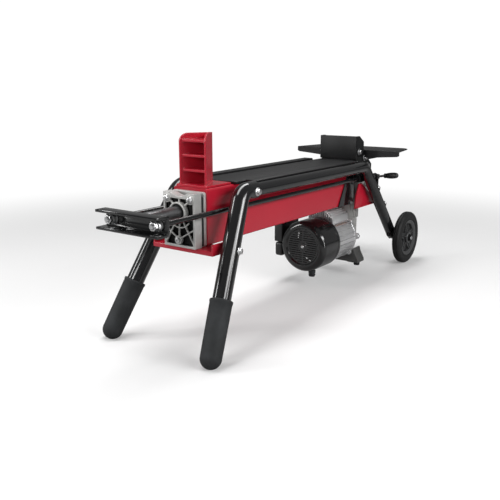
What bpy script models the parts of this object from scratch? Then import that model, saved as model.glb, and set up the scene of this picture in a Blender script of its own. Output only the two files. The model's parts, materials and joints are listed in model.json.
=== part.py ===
"""Electric hydraulic log splitter: a ram beam on two rails, tubular legs, wheels and a slung motor pump.

Lengths are metres and +Z is up. Stations along the beam are counted in +X from the face of the front
cap, and at() moves them so that the finished machine stands centred on the origin.
"""

import math

import bmesh
import bpy
from mathutils import Matrix, Vector

# ---------------------------------------------------------------- clearances
GAP = 0.0003            # between faces that touch
SLIDE = 0.0010          # between faces that slide
BORE = 0.0005           # around turning and sliding shafts

# ---------------------------------------------------------------- tank beam
BEAM_LENGTH = 0.577
BEAM_WIDTH = 0.0802
BEAM_HEIGHT = 0.1057
BEAM_WALL = 0.003
BEAM_FLOOR = 0.1866     # underside above the ground
GUARD_FOOT = 0.0785     # dark plates over the beam's rear end, along its floor
GUARD_TOP = 0.0221      # and along its top
GUARD_THICK = 0.003
CAP_WIDTH = 0.0752
CAP_HEIGHT = BEAM_HEIGHT - 0.0043
CAP_THICK = 0.0195
CAP_DROP = 0.0012       # how far the cap reaches below the beam
GASKET_THICK = 0.006
FLANGE_THICK = 0.0066
VALVE_LENGTH = 0.088

BEAM_X0 = CAP_THICK + GASKET_THICK + FLANGE_THICK + 3 * GAP
BEAM_X1 = BEAM_X0 + BEAM_LENGTH
BEAM_TOP = BEAM_FLOOR + BEAM_HEIGHT
CAP_Z0 = BEAM_FLOOR - CAP_DROP
CAP_Z1 = CAP_Z0 + CAP_HEIGHT
VALVE_X0 = BEAM_X1 + GASKET_THICK + 2 * GAP
VALVE_X1 = VALVE_X0 + VALVE_LENGTH

# ---------------------------------------------------------------- hydraulic cylinder and ram
ROD_RADIUS = 0.0125
ROD_BELOW_TOP = 0.0417  # cylinder axis below the beam's top
BORE_RADIUS = 0.025
CYLINDER_WALL = 0.004
PISTON_THICK = 0.030
STROKE_OUT = 0.360
PISTON_FRONT = 0.045    # oil left ahead of the piston at full stroke

ROD_Z = BEAM_TOP - ROD_BELOW_TOP
PISTON_X = BEAM_X0 + PISTON_FRONT + STROKE_OUT + PISTON_THICK / 2

# ---------------------------------------------------------------- crossbar and tie rods
CROSSBAR_REACH = 0.1324  # front edge of the crossbar ahead of the cap
CROSSBAR_DEPTH = 0.029
CROSSBAR_HEIGHT = 0.035
CROSSBAR_WIDTH = 0.146
CROSSBAR_THICK = 0.0045
TIE_RADIUS = 0.005
TIE_FROM_BEAM = 0.0131   # tie-rod axis out from the beam's side
NUT_ACROSS = 0.016
NUT_THICK = 0.008

CROSSBAR_X0 = -CROSSBAR_REACH
WEB_X1 = CROSSBAR_X0 + CROSSBAR_DEPTH
WEB_X0 = WEB_X1 - CROSSBAR_THICK
TIE_Y = BEAM_WIDTH / 2 + TIE_FROM_BEAM

# ---------------------------------------------------------------- bed, pusher and tray
BED_THICK = 0.005
BED_OVERHANG = 0.0054    # bed beyond the beam's side
PUSHER_GAP = 0.498       # wedge edge to pusher face at rest
PUSHER_PLATE = 0.008
PUSHER_SIDE = 0.004
PUSHER_HEIGHT = 0.0573
PUSHER_DEPTH = 0.044
PUSHER_TAIL = 0.048      # side plates behind the tray's front edge
TRAY_WIDTH = 0.290
TRAY_DEPTH = 0.103
TRAY_THICK = 0.003
TRAY_APRON = 0.0195      # depth of the tray's front apron at the middle
LUG_WALL = 0.003

# ---------------------------------------------------------------- wedge
WEDGE_X0 = 0.040
WEDGE_LENGTH = 0.060
WEDGE_WIDTH = 0.066
WEDGE_HEIGHT = 0.098
WEDGE_PLATE = 0.0045
WEDGE_CORNER = 0.016
WEDGE_RIBS = 3

WEDGE_X1 = WEDGE_X0 + WEDGE_LENGTH
BED_X0 = WEDGE_X1 + 0.015
PUSHER_X0 = WEDGE_X1 + PUSHER_GAP
TRAY_X0 = PUSHER_X0 + PUSHER_DEPTH
BED_TOP = BEAM_TOP + GAP + BED_THICK
BED_HALF = BEAM_WIDTH / 2 + BED_OVERHANG
PUSHER_Z0 = BED_TOP + SLIDE
PUSHER_Z1 = PUSHER_Z0 + PUSHER_HEIGHT
SIDE_Y0 = BED_HALF + SLIDE
SIDE_Y1 = SIDE_Y0 + PUSHER_SIDE
LUG_Y1 = TIE_Y + TIE_RADIUS + LUG_WALL
LUG_Z0 = ROD_Z - TIE_RADIUS - LUG_WALL - 0.001
LUG_Z1 = ROD_Z + TIE_RADIUS + LUG_WALL + 0.003
LUG_LENGTH = 0.034

# ---------------------------------------------------------------- rails, legs and wheels
RAIL_RADIUS = 0.0135
RAIL_CLEAR = 0.0018      # rail's inner side to the tie-rod lug
RAIL_Z = BEAM_TOP - 0.0090
REAR_KNEE_X = BEAM_X1 - 0.0140
REAR_LEG_LEAN = 0.92     # metres back for each metre down
RAIL_BEND = 0.034
LEG_RADIUS = 0.017
LEG_KNEE_X = 0.088
LEG_MOUTH = 0.042        # leg's level stretch after its knee
LEG_BEND = 0.030
SOCKET_DEPTH = 0.026
FOOT_X = -0.0728
FOOT_Y = 0.1254
GRIP_RADIUS = 0.0212
GRIP_END_RADIUS = 0.0196
GRIP_LENGTH = 0.123
GRIP_FLAT = 0.0022       # dome cut off at the ground
WHEEL_RADIUS = 0.0708
TYRE_WIDTH = 0.0225
TYRE_DEPTH = 0.022
AXLE_X = BEAM_X1 + 0.2020
AXLE_RADIUS = 0.006
AXLE_INBOARD = 0.0095     # each stub axle's end inside its leg
SADDLE_DEPTH = 0.0088     # the front saddle's folded lips
WHEEL_CLEAR = 0.0035

RAIL_Y = LUG_Y1 + RAIL_CLEAR + RAIL_RADIUS
WHEEL_Y0 = RAIL_Y + RAIL_RADIUS + WHEEL_CLEAR
WHEEL_Y1 = WHEEL_Y0 + TYRE_WIDTH
CRADLE_THICK = 0.003
CRADLE_LENGTH = 0.43
CRADLE_X0 = LEG_KNEE_X + LEG_MOUTH + 0.004
CRADLE_Z1 = RAIL_Z + RAIL_RADIUS + GAP + CRADLE_THICK
APRON_Z0 = CRADLE_Z1 + SLIDE

# ---------------------------------------------------------------- motor and pump
MOTOR_X0 = VALVE_X0 - 0.1836
MOTOR_Z = 0.1011
COVER_RADIUS = 0.0618
COVER_LENGTH = 0.079
COVER_WALL = 0.002
BODY_RADIUS = COVER_RADIUS - 0.0038
BODY_LENGTH = 0.104
BODY_WALL = 0.005
SHAFT_RADIUS = 0.008
BEARING_RADIUS = 0.016
BEARING_WIDTH = 0.009
GEAR_TEETH = 10
GEAR_PITCH = 0.0120
GEAR_ADDENDUM = 0.0018
GEAR_WIDTH = 0.014
PUMP_LENGTH = 0.034
PUMP_COVER = 0.008

BODY_X0 = MOTOR_X0 + COVER_LENGTH + GAP
BODY_X1 = BODY_X0 + BODY_LENGTH
PUMP_X0 = BODY_X1 + GAP
PUMP_X1 = PUMP_X0 + PUMP_LENGTH

# ---------------------------------------------------------------- control lever
SPOOL_RADIUS = 0.005
SPOOL_FROM_BACK = 0.0196  # spool's station ahead of the valve block's back face
SPOOL_BELOW_ROD = 0.0196
SPOOL_OUT = 0.0164        # spool's end beyond the block's side
SPOOL_FREE = 0.010        # room left for the spool at the end of its bore
LEVER_FROM_BLOCK = 0.0229  # lever's axis out from the block's side
LEVER_ABOVE_SPOOL = 0.018
LEVER_REACH = 0.0300      # arm, from its axis to the grip
HANDLE_LENGTH = 0.0380
HUB_RADIUS = 0.0085
HUB_LENGTH = 0.020
PIN_RADIUS = 0.003

SPOOL_X = VALVE_X1 - SPOOL_FROM_BACK
SPOOL_Z = ROD_Z - SPOOL_BELOW_ROD
SPOOL_END_Y = -CAP_WIDTH / 2 - SPOOL_OUT
PIVOT_Y = -CAP_WIDTH / 2 - LEVER_FROM_BLOCK
PIVOT_Z = SPOOL_Z + LEVER_ABOVE_SPOOL

# The machine stands centred between the crossbar's front edge and the back of the wheels.
CENTRE_X = (AXLE_X + WHEEL_RADIUS + CROSSBAR_X0) / 2


def at(x, y, z):
    """A point given by its station along the beam, in the finished machine's frame."""
    return Vector((x - CENTRE_X, y, z))


# ---------------------------------------------------------------- scene and materials
for old in list(bpy.data.objects):
    bpy.data.objects.remove(old, do_unlink=True)

PARTS = bpy.data.collections.new("log_splitter")
CUTTERS = bpy.data.collections.new("log_splitter_cutters")
for group in (PARTS, CUTTERS):
    bpy.context.scene.collection.children.link(group)


def finish(name, colour, roughness, metallic=0.0):
    material = bpy.data.materials.new(name)
    material.use_nodes = True
    shader = material.node_tree.nodes["Principled BSDF"]
    shader.inputs["Base Color"].default_value = (*colour, 1.0)
    shader.inputs["Roughness"].default_value = roughness
    shader.inputs["Metallic"].default_value = metallic
    return material


RED = finish("red_enamel", (0.52, 0.012, 0.030), 0.30)
BLACK = finish("black_enamel", (0.012, 0.012, 0.013), 0.22)
CAST = finish("cast_aluminium", (0.60, 0.61, 0.62), 0.42, 1.0)
STEEL = finish("bright_steel", (0.58, 0.58, 0.60), 0.28, 1.0)
ZINC = finish("zinc_plate", (0.66, 0.67, 0.68), 0.33, 1.0)
RUBBER = finish("black_rubber", (0.022, 0.022, 0.023), 0.72)
PLASTIC = finish("black_plastic", (0.016, 0.016, 0.017), 0.35)
COPPER = finish("copper_windings", (0.60, 0.26, 0.12), 0.40, 1.0)
GREEN = finish("green_button", (0.02, 0.32, 0.07), 0.40)


# ---------------------------------------------------------------- modelling helpers
def place(name, mesh, material, location=(0, 0, 0), parent=None, cutter=False):
    """Link a mesh as an object; a cutter goes in the cutters' collection and isn't a part."""
    thing = bpy.data.objects.new(name, mesh)
    (CUTTERS if cutter else PARTS).objects.link(thing)
    thing.location = location
    if cutter:
        thing.hide_render = True
        thing.display_type = "WIRE"
    else:
        mesh.materials.append(material)
    if parent is not None:
        thing.parent = parent
        thing.location = Vector(location) - parent.location
    return thing


def smooth(thing, degrees=35):
    thing.data.shade_smooth()
    thing.data.set_sharp_from_angle(angle=math.radians(degrees))
    return thing


def from_bmesh(name, form, material, location, parent=None, cutter=False):
    """Make an object of a bmesh modelled in the machine's frame, with its origin at location."""
    bmesh.ops.translate(form, verts=form.verts, vec=-Vector(location))
    mesh = bpy.data.meshes.new(name)
    form.to_mesh(mesh)
    form.free()
    return smooth(place(name, mesh, material, location, parent, cutter))


def box(name, low, high, material=None, bevel=0.0, origin=None, parent=None, cutter=False):
    """A block between two corners given as stations."""
    low, high = at(*low), at(*high)
    form = bmesh.new()
    bmesh.ops.create_cube(form, size=1.0)
    bmesh.ops.scale(form, verts=form.verts, vec=high - low)
    bmesh.ops.translate(form, verts=form.verts, vec=(low + high) / 2)
    thing = from_bmesh(name, form, material, origin or (low + high) / 2, parent, cutter)
    if bevel:
        round_edges(thing, bevel)
    return thing


def cylinder(name, start, end, radius, material=None, sides=32, radius_end=None, origin=None,
             parent=None, cutter=False):
    """A straight round bar between two stations."""
    start, end = at(*start), at(*end)
    run = end - start
    turn = run.to_track_quat("Z", "Y").to_matrix().to_4x4()
    form = bmesh.new()
    bmesh.ops.create_cone(
        form, cap_ends=True, segments=sides, radius1=radius,
        radius2=radius if radius_end is None else radius_end, depth=run.length,
        matrix=Matrix.Translation((start + end) / 2) @ turn,
    )
    return from_bmesh(name, form, material, origin or (start + end) / 2, parent, cutter)


def round_edges(thing, width, segments=2):
    bevel = thing.modifiers.new("rounded edges", "BEVEL")
    bevel.width = width
    bevel.segments = segments
    bevel.limit_method = "ANGLE"
    bevel.angle_limit = math.radians(40)
    return thing


def boolean(thing, other, operation):
    step = thing.modifiers.new(operation.lower(), "BOOLEAN")
    step.operation = operation
    step.object = other
    return thing


def cut(thing, *cutters):
    for cutter in cutters:
        boolean(thing, cutter, "DIFFERENCE")
    return thing


def join(thing, *others):
    for other in others:
        boolean(thing, other, "UNION")
    return thing


AXES = {
    "X": Matrix(((0, 0, 1), (1, 0, 0), (0, 1, 0))).to_4x4(),   # outline (y, z), thickness along X
    "Y": Matrix(((1, 0, 0), (0, 0, -1), (0, 1, 0))).to_4x4(),  # outline (x, z), thickness along Y
    "Z": Matrix.Identity(4),                                   # outline (x, y), thickness along Z
}


def plate(name, axis, outlines, low, high, material=None, origin=None, parent=None, cutter=False):
    """A flat outline, with holes as further outlines, from low to high along one axis.

    Outlines are in the two other axes, with stations for x.
    """
    shift = {"X": Vector((0, 0)), "Y": Vector((CENTRE_X, 0)), "Z": Vector((CENTRE_X, 0))}[axis]
    curve = bpy.data.curves.new(name, "CURVE")
    curve.dimensions = "2D"
    curve.fill_mode = "BOTH"
    curve.extrude = (high - low) / 2
    for outline in outlines:
        spline = curve.splines.new("POLY")
        spline.points.add(len(outline) - 1)
        for point, (u, v) in zip(spline.points, outline):
            point.co = (u - shift.x, v - shift.y, 0.0, 1.0)
        spline.use_cyclic_u = True
    middle = (low + high) / 2
    offset = {"X": Vector((middle - CENTRE_X, 0, 0)), "Y": Vector((0, middle, 0)),
              "Z": Vector((0, 0, middle))}[axis]
    form = welded(name, curve)
    bmesh.ops.transform(form, matrix=Matrix.Translation(offset) @ AXES[axis], verts=form.verts)
    bmesh.ops.recalc_face_normals(form, faces=form.faces)
    return from_bmesh(name, form, material, origin or offset, parent, cutter)


def welded(name, curve):
    """Turn a curve into a closed bmesh whose caps are joined to its sides."""
    guide = bpy.data.objects.new(name + "_guide", curve)
    CUTTERS.objects.link(guide)
    bpy.context.view_layer.update()
    evaluated = guide.evaluated_get(bpy.context.evaluated_depsgraph_get())
    mesh = bpy.data.meshes.new_from_object(evaluated)
    form = bmesh.new()
    form.from_mesh(mesh)
    bmesh.ops.remove_doubles(form, verts=form.verts, dist=1e-6)
    bpy.data.objects.remove(guide, do_unlink=True)
    bpy.data.meshes.remove(mesh)
    return form


def bent_path(corners, radius, steps=5):
    """Straight runs between corner points, joined by arcs of one radius."""
    points = [Vector(corners[0])]
    for before, corner, after in zip(corners, corners[1:], corners[2:]):
        corner = Vector(corner)
        back = (Vector(before) - corner).normalized()
        ahead = (Vector(after) - corner).normalized()
        half = back.angle(ahead) / 2
        setback = radius / math.tan(half)
        middle = corner + (back + ahead).normalized() * radius / math.sin(half)
        start = corner + back * setback - middle
        end = corner + ahead * setback - middle
        sweep = start.angle(end)
        for step in range(steps + 1):
            share = step / steps
            arc = (start * math.sin((1 - share) * sweep) + end * math.sin(share * sweep))
            points.append(middle + arc / math.sin(sweep))
    points.append(Vector(corners[-1]))
    return points


def tube(name, points, radius, material, origin, resolution=6, parent=None):
    """A round bar along points in the machine's frame."""
    curve = bpy.data.curves.new(name, "CURVE")
    curve.dimensions = "3D"
    curve.bevel_depth = radius
    curve.bevel_resolution = resolution
    curve.use_fill_caps = True
    spline = curve.splines.new("POLY")
    spline.points.add(len(points) - 1)
    for point, place_at in zip(spline.points, points):
        point.co = (*place_at, 1.0)
    form = welded(name, curve)
    bmesh.ops.recalc_face_normals(form, faces=form.faces)
    return from_bmesh(name, form, material, origin, parent)


def turned(name, profile, base, direction, material, sides=32, parent=None):
    """A profile of (radius, height) from the top down, turned about an axis through base."""
    form = bmesh.new()
    ring = [form.verts.new((radius, 0, height)) for radius, height in profile]
    for a, b in zip(ring, ring[1:] + ([ring[0]] if profile[0][0] > 0 else [])):
        form.edges.new((a, b))
    mesh = bpy.data.meshes.new(name)
    form.to_mesh(mesh)
    form.free()
    thing = place(name, mesh, material, base, parent)
    thing.rotation_euler = Vector(direction).to_track_quat("Z", "Y").to_euler()
    screw = thing.modifiers.new("turned", "SCREW")
    screw.steps = screw.render_steps = sides
    screw.use_merge_vertices = True
    screw.merge_threshold = 1e-5
    screw.use_smooth_shade = True
    return thing


def rounded_rectangle(u0, v0, u1, v1, radius, steps=4):
    points = []
    for cu, cv, begin in ((u1 - radius, v0 + radius, -90), (u1 - radius, v1 - radius, 0),
                          (u0 + radius, v1 - radius, 90), (u0 + radius, v0 + radius, 180)):
        for step in range(steps + 1):
            angle = math.radians(begin + 90 * step / steps)
            points.append((cu + radius * math.cos(angle), cv + radius * math.sin(angle)))
    return points


def circle(u, v, radius, sides=24):
    return [(u + radius * math.cos(2 * math.pi * k / sides), v + radius * math.sin(2 * math.pi * k / sides))
            for k in range(sides)]


def empty(name, location):
    pivot = bpy.data.objects.new(name, None)
    PARTS.objects.link(pivot)
    pivot.location = location
    return pivot


# ---------------------------------------------------------------- beam, caps and bed
def make_beam():
    half, wall = BEAM_WIDTH / 2, BEAM_WALL
    outer = rounded_rectangle(-half, BEAM_FLOOR, half, BEAM_TOP, 0.004)
    inner = rounded_rectangle(-half + wall, BEAM_FLOOR + wall, half - wall, BEAM_TOP - wall, 0.002)
    plate("tank_beam", "X", [outer, inner], BEAM_X0, BEAM_X1, RED)
    round_edges(box("bed_plate", (BED_X0, -BED_HALF, BEAM_TOP + GAP),
                    (VALVE_X1 + 0.045, BED_HALF, BED_TOP), BLACK), 0.0015)
    for side, sign in (("left", 1), ("right", -1)):
        near, far = sign * (half + GAP), sign * (half + GAP + GUARD_THICK)
        slant = [(BEAM_X1 - GUARD_FOOT, BEAM_FLOOR + 0.001), (BEAM_X1 - 0.001, BEAM_FLOOR + 0.001),
                 (BEAM_X1 - 0.001, BEAM_TOP - 0.004), (BEAM_X1 - GUARD_TOP, BEAM_TOP - 0.004)]
        plate("side_guard_" + side, "Y", [slant], min(near, far), max(near, far), BLACK)


def cap_outline():
    """Cap seen from the front: square corners with a shallow scallop along the top."""
    half, dip, steps = CAP_WIDTH / 2, 0.0065, 10
    shoulder = half - 0.017
    points = [(-half, CAP_Z0), (half, CAP_Z0), (half, CAP_Z1), (shoulder, CAP_Z1)]
    for step in range(1, steps):
        share = step / steps
        points.append((shoulder * (1 - 2 * share), CAP_Z1 - dip * math.sin(math.pi * share)))
    points.append((-shoulder, CAP_Z1))
    points.append((-half, CAP_Z1))
    return points


def rib(name, start, end, width):
    """A straight rib between two (y, z) points, left standing where it's cut out of the pockets."""
    start, end = Vector(start), Vector(end)
    side = (end - start).orthogonal().normalized() * width / 2
    outline = [tuple(start + side), tuple(start - side), tuple(end - side), tuple(end + side)]
    return plate(name, "X", [outline], -0.020, 0.020, cutter=True)


def cap_boss(name, y, z, front, radius, back):
    """A round of the cap's casting, along the beam."""
    return cylinder(name, (front, y, z), (back, y, z), radius, sides=32 if radius > 0.01 else 24, cutter=True)


def make_front_cap():
    half, rim, floor = CAP_WIDTH / 2, 0.0032, 0.0080
    cap = plate("front_cap", "X", [cap_outline()], 0.0, CAP_THICK, CAST)
    hollow = rounded_rectangle(-half + rim, CAP_Z0 + rim, half - rim, CAP_Z1 - 0.0115, 0.004)
    pocket = plate("cap_pockets", "X", [hollow], -0.010, floor, cutter=True)
    drain_z = CAP_Z0 + 0.0135
    for key, side in (("left", 1), ("right", -1)):
        corner = (side * (half - 0.003), CAP_Z0 + 0.003)
        cut(pocket, rib("cap_rib_corner_" + key, corner, (side * -0.004, ROD_Z - 0.013), 0.0034),
            rib("cap_rib_side_" + key, (side * half, ROD_Z - 0.031), (side * 0.008, ROD_Z - 0.012), 0.0032))
    cut(pocket, rib("cap_rib_down", (0.002, drain_z), (0.0, ROD_Z - 0.010), 0.0042),
        cap_boss("cap_rod_land", 0, ROD_Z, -0.020, 0.0200, floor + 0.005),
        cap_boss("cap_drain_land", 0.002, drain_z, -0.020, 0.0085, floor + 0.005))
    for side in (1, -1):
        cut(pocket, cap_boss(f"cap_bolt_land_{side}", side * (half - 0.0095), CAP_Z1 - 0.0115, -0.020, 0.0088,
                             floor + 0.005))
    cut(cap, pocket)
    join(cap, cap_boss("cap_rod_boss", 0, ROD_Z, -0.006, 0.0196, floor + 0.003),
         cap_boss("cap_drain_boss", 0.002, drain_z, -0.002, 0.0081, floor + 0.003))
    for side in (1, -1):
        y, z = side * (half - 0.0095), CAP_Z1 - 0.0115
        join(cap, cap_boss(f"cap_bolt_boss_{side}", y, z, -0.0015, 0.0084, floor + 0.003))
        cut(cap, cap_boss(f"cap_bolt_hole_{side}", y, z, -0.010, 0.0042, 0.012))
    cut(cap, cylinder("cap_gland_bore", (-0.01, 0, ROD_Z), (0.0121, 0, ROD_Z), 0.0165, cutter=True))
    cut(cap, cylinder("cap_rod_bore", (-0.02, 0, ROD_Z), (CAP_THICK + 0.01, 0, ROD_Z),
                      ROD_RADIUS + BORE, cutter=True))
    smooth(cap)
    gland = [(0.0162, 0.0165), (0.0162, 0.0), (ROD_RADIUS + BORE, 0.0), (ROD_RADIUS + BORE, 0.0185),
             (0.0150, 0.0185)]
    turned("rod_gland", gland, at(0.0118, 0, ROD_Z), (-1, 0, 0), RUBBER)


def make_rear_end():
    half = CAP_WIDTH / 2
    bore = circle(0, ROD_Z, BORE_RADIUS + CYLINDER_WALL)
    outline = rounded_rectangle(-half, CAP_Z0, half, CAP_Z1, 0.005)
    start = CAP_THICK + GAP
    plate("front_gasket", "X", [rounded_rectangle(-half + 0.001, CAP_Z0 + 0.001, half - 0.001,
                                                  CAP_Z1 - 0.007, 0.004),
                                circle(0, ROD_Z, ROD_RADIUS + 0.004)], start, start + GASKET_THICK, RUBBER)
    start += GASKET_THICK + GAP
    plate("front_flange", "X", [outline, circle(0, ROD_Z, ROD_RADIUS + 0.003)],
          start, start + FLANGE_THICK, CAST)
    plate("rear_gasket", "X", [outline, bore], BEAM_X1 + GAP, BEAM_X1 + GAP + GASKET_THICK, RUBBER)
    tube_out, tube_in = BORE_RADIUS + CYLINDER_WALL, BORE_RADIUS
    plate("cylinder_tube", "X", [circle(0, ROD_Z, tube_out, 32), circle(0, ROD_Z, tube_in, 32)],
          BEAM_X0 + GAP, BEAM_X1 - GAP, STEEL)
    valve = box("valve_block", (VALVE_X0, -half, CAP_Z0 + 0.006), (VALVE_X1, half, CAP_Z1), CAST)
    cut(valve, cylinder("spool_bore", (SPOOL_X, -half - 0.01, SPOOL_Z), (SPOOL_X, half - 0.006, SPOOL_Z),
                        SPOOL_RADIUS + BORE, sides=24, cutter=True))
    round_edges(valve, 0.003)


# ---------------------------------------------------------------- wedge
def make_wedge():
    half, wall = WEDGE_WIDTH / 2, WEDGE_PLATE
    slope = WEDGE_LENGTH / half
    foot, top = BEAM_TOP + GAP, BEAM_TOP + WEDGE_HEIGHT
    vee = [(WEDGE_X0, -half), (WEDGE_X1, 0), (WEDGE_X0, half), (WEDGE_X0, half - wall),
           (WEDGE_X1 - slope * wall, 0), (WEDGE_X0, -half + wall)]
    wedge = plate("wedge", "Z", [vee], foot, top, RED)
    level = (top - foot - WEDGE_CORNER) / WEDGE_RIBS
    inset = 0.003
    for index in range(WEDGE_RIBS + 1):
        z = foot + level * index if index else foot
        run = half - wall / 2 - inset / slope
        shelf = [(WEDGE_X0 + inset, -run), (WEDGE_X1 - slope * wall / 2, 0), (WEDGE_X0 + inset, run)]
        join(wedge, plate(f"wedge_rib_{index}", "Z", [shelf], z, z + wall, cutter=True))
    join(wedge, box("wedge_base", (WEDGE_X0 - 0.005, -half - 0.003, foot),
                    (WEDGE_X1 + 0.010, half + 0.003, foot + 0.004), cutter=True))
    radius, steps = WEDGE_CORNER, 6
    corner = [(WEDGE_X0 - 0.02, top - radius), (WEDGE_X0, top - radius)]
    for step in range(1, steps + 1):
        angle = math.radians(180 - 90 * step / steps)
        corner.append((WEDGE_X0 + radius + radius * math.cos(angle), top - radius + radius * math.sin(angle)))
    corner += [(WEDGE_X0 + radius, top + 0.02), (WEDGE_X0 - 0.02, top + 0.02)]
    cut(wedge, plate("wedge_corner_cut", "Y", [corner], -half - 0.02, half + 0.02, cutter=True))
    smooth(wedge, 30)


# ---------------------------------------------------------------- ram: everything the piston moves
def make_ram():
    ram = empty("ram_axis", at(0, 0, ROD_Z))
    half = CROSSBAR_WIDTH / 2
    z0, z1 = ROD_Z - CROSSBAR_HEIGHT / 2, ROD_Z + CROSSBAR_HEIGHT / 2
    channel = [(CROSSBAR_X0, z0), (WEB_X1, z0), (WEB_X1, z1), (CROSSBAR_X0, z1),
               (CROSSBAR_X0, z1 - CROSSBAR_THICK), (WEB_X0, z1 - CROSSBAR_THICK),
               (WEB_X0, z0 + CROSSBAR_THICK), (CROSSBAR_X0, z0 + CROSSBAR_THICK)]
    crossbar = plate("crossbar", "Y", [channel], -half, half, BLACK, parent=ram)
    for sign in (1, -1):
        cut(crossbar, cylinder(f"crossbar_hole_{sign}", (WEB_X0 - 0.01, sign * TIE_Y, ROD_Z),
                               (WEB_X1 + 0.01, sign * TIE_Y, ROD_Z), TIE_RADIUS + GAP, sides=24, cutter=True))
    round_edges(crossbar, 0.0012, 1)
    rod_end = PISTON_X - PISTON_THICK / 2 - GAP
    cylinder("piston_rod", (WEB_X1 + GAP, 0, ROD_Z), (rod_end, 0, ROD_Z), ROD_RADIUS, STEEL, parent=ram)
    cylinder("piston", (rod_end + GAP, 0, ROD_Z), (rod_end + GAP + PISTON_THICK, 0, ROD_Z),
             BORE_RADIUS - BORE, STEEL, parent=ram)
    for side, sign in (("left", 1), ("right", -1)):
        y = sign * TIE_Y
        front = WEB_X0 - GAP - NUT_THICK
        rear = PUSHER_X0 + PUSHER_PLATE + LUG_LENGTH
        cylinder("tie_rod_" + side, (front - 0.004, y, ROD_Z), (rear, y, ROD_Z), TIE_RADIUS, BLACK,
                 sides=24, parent=ram)
        nut = cylinder("tie_nut_" + side, (front, y, ROD_Z), (WEB_X0 - GAP, y, ROD_Z),
                       NUT_ACROSS / math.sqrt(3), ZINC, sides=6, parent=ram)
        cut(nut, cylinder("nut_bore_" + side, (front - 0.01, y, ROD_Z), (WEB_X0 + 0.01, y, ROD_Z),
                          TIE_RADIUS + GAP, sides=24, cutter=True))
    make_pusher(ram)


def make_pusher(ram):
    back = PUSHER_X0 + PUSHER_PLATE
    pusher = box("pusher", (PUSHER_X0, -SIDE_Y1, PUSHER_Z0), (back, SIDE_Y1, PUSHER_Z1), BLACK, parent=ram)
    tail = TRAY_X0 - GAP
    shoulder = APRON_Z0 - GAP
    side_shape = [(back - 0.001, LUG_Z0), (tail + PUSHER_TAIL, LUG_Z0), (tail + PUSHER_TAIL, LUG_Z1 + 0.020),
                  (tail + PUSHER_TAIL / 2, shoulder), (tail, shoulder), (tail, PUSHER_Z1 - 0.015), (tail - 0.024, PUSHER_Z1),
                  (back - 0.001, PUSHER_Z1)]
    for side, sign in (("left", 1), ("right", -1)):
        inner, outer = sign * SIDE_Y0, sign * SIDE_Y1
        join(pusher, plate("pusher_side_" + side, "Y", [side_shape], min(inner, outer), max(inner, outer),
                           cutter=True))
        inner, outer = sign * (SIDE_Y0 + 0.001), sign * LUG_Y1
        join(pusher, box("pusher_lug_" + side, (back, min(inner, outer), LUG_Z0 + 0.0005),
                         (back + LUG_LENGTH - 0.002, max(inner, outer), LUG_Z1), cutter=True))
        cut(pusher, cylinder("pusher_rod_hole_" + side, (back - 0.02, sign * TIE_Y, ROD_Z),
                             (back + LUG_LENGTH + 0.02, sign * TIE_Y, ROD_Z), TIE_RADIUS + GAP,
                             sides=24, cutter=True))
    rib_z = PUSHER_Z0 + PUSHER_HEIGHT * 0.45
    join(pusher, box("pusher_web", (back - 0.001, -SIDE_Y0 - 0.001, rib_z),
                     (tail, SIDE_Y0 + 0.001, rib_z + 0.004), cutter=True))
    smooth(pusher, 30)
    half, thick = TRAY_WIDTH / 2, TRAY_THICK
    top = APRON_Z0 + TRAY_APRON
    x0, x1 = TRAY_X0, TRAY_X0 + TRAY_DEPTH
    outline = [(x0, -half), (x1 - 0.012, -half + 0.016), (x1, -half + 0.030), (x1, half - 0.030),
               (x1 - 0.012, half - 0.016), (x0, half)]
    tray = plate("rear_tray", "Z", [outline], top - thick, top, BLACK, parent=ram)
    apron = [(-half, top - thick / 2), (-half, top - 0.011), (-half + 0.004, top - 0.0135),
             (-SIDE_Y1 - 0.014, APRON_Z0), (SIDE_Y1 + 0.014, APRON_Z0),
             (half - 0.004, top - 0.0135), (half, top - 0.011), (half, top - thick / 2)]
    join(tray, plate("tray_apron", "X", [apron], x0, x0 + thick, cutter=True))


# ---------------------------------------------------------------- rails, legs, grips
def make_rails():
    for side, sign in (("left", 1), ("right", -1)):
        y = sign * RAIL_Y
        start_x = LEG_KNEE_X + LEG_MOUTH - SOCKET_DEPTH + GAP
        drop = RAIL_Z - WHEEL_RADIUS - 0.012
        heel = (REAR_KNEE_X + REAR_LEG_LEAN * drop, y, RAIL_Z - drop)
        path = bent_path([at(start_x, y, RAIL_Z), at(REAR_KNEE_X, y, RAIL_Z), at(*heel),
                          at(AXLE_X + 0.014, y, WHEEL_RADIUS)], RAIL_BEND)
        rail = tube("rail_" + side, path, RAIL_RADIUS, BLACK, at(REAR_KNEE_X, y, RAIL_Z))
        cut(rail, cylinder("axle_hole_" + side, (AXLE_X, y - 0.03, WHEEL_RADIUS),
                           (AXLE_X, y + 0.03, WHEEL_RADIUS), AXLE_RADIUS + GAP, sides=24, cutter=True))
        inner = SIDE_Y1 + 2 * SLIDE
        ledge = [(sign * inner, CRADLE_Z1), (sign * inner, RAIL_Z), (sign * (inner + CRADLE_THICK), RAIL_Z),
                 (sign * (inner + CRADLE_THICK), CRADLE_Z1 - CRADLE_THICK),
                 (sign * RAIL_Y, CRADLE_Z1 - CRADLE_THICK), (sign * RAIL_Y, CRADLE_Z1)]
        plate("cradle_" + side, "X", [ledge], CRADLE_X0, CRADLE_X0 + CRADLE_LENGTH, BLACK)


def leg_line(sign):
    """Knee and ground point of a front leg's centre line."""
    knee = at(LEG_KNEE_X, sign * RAIL_Y, RAIL_Z)
    ground = at(FOOT_X, sign * FOOT_Y, 0.0)
    return knee, ground


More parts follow.
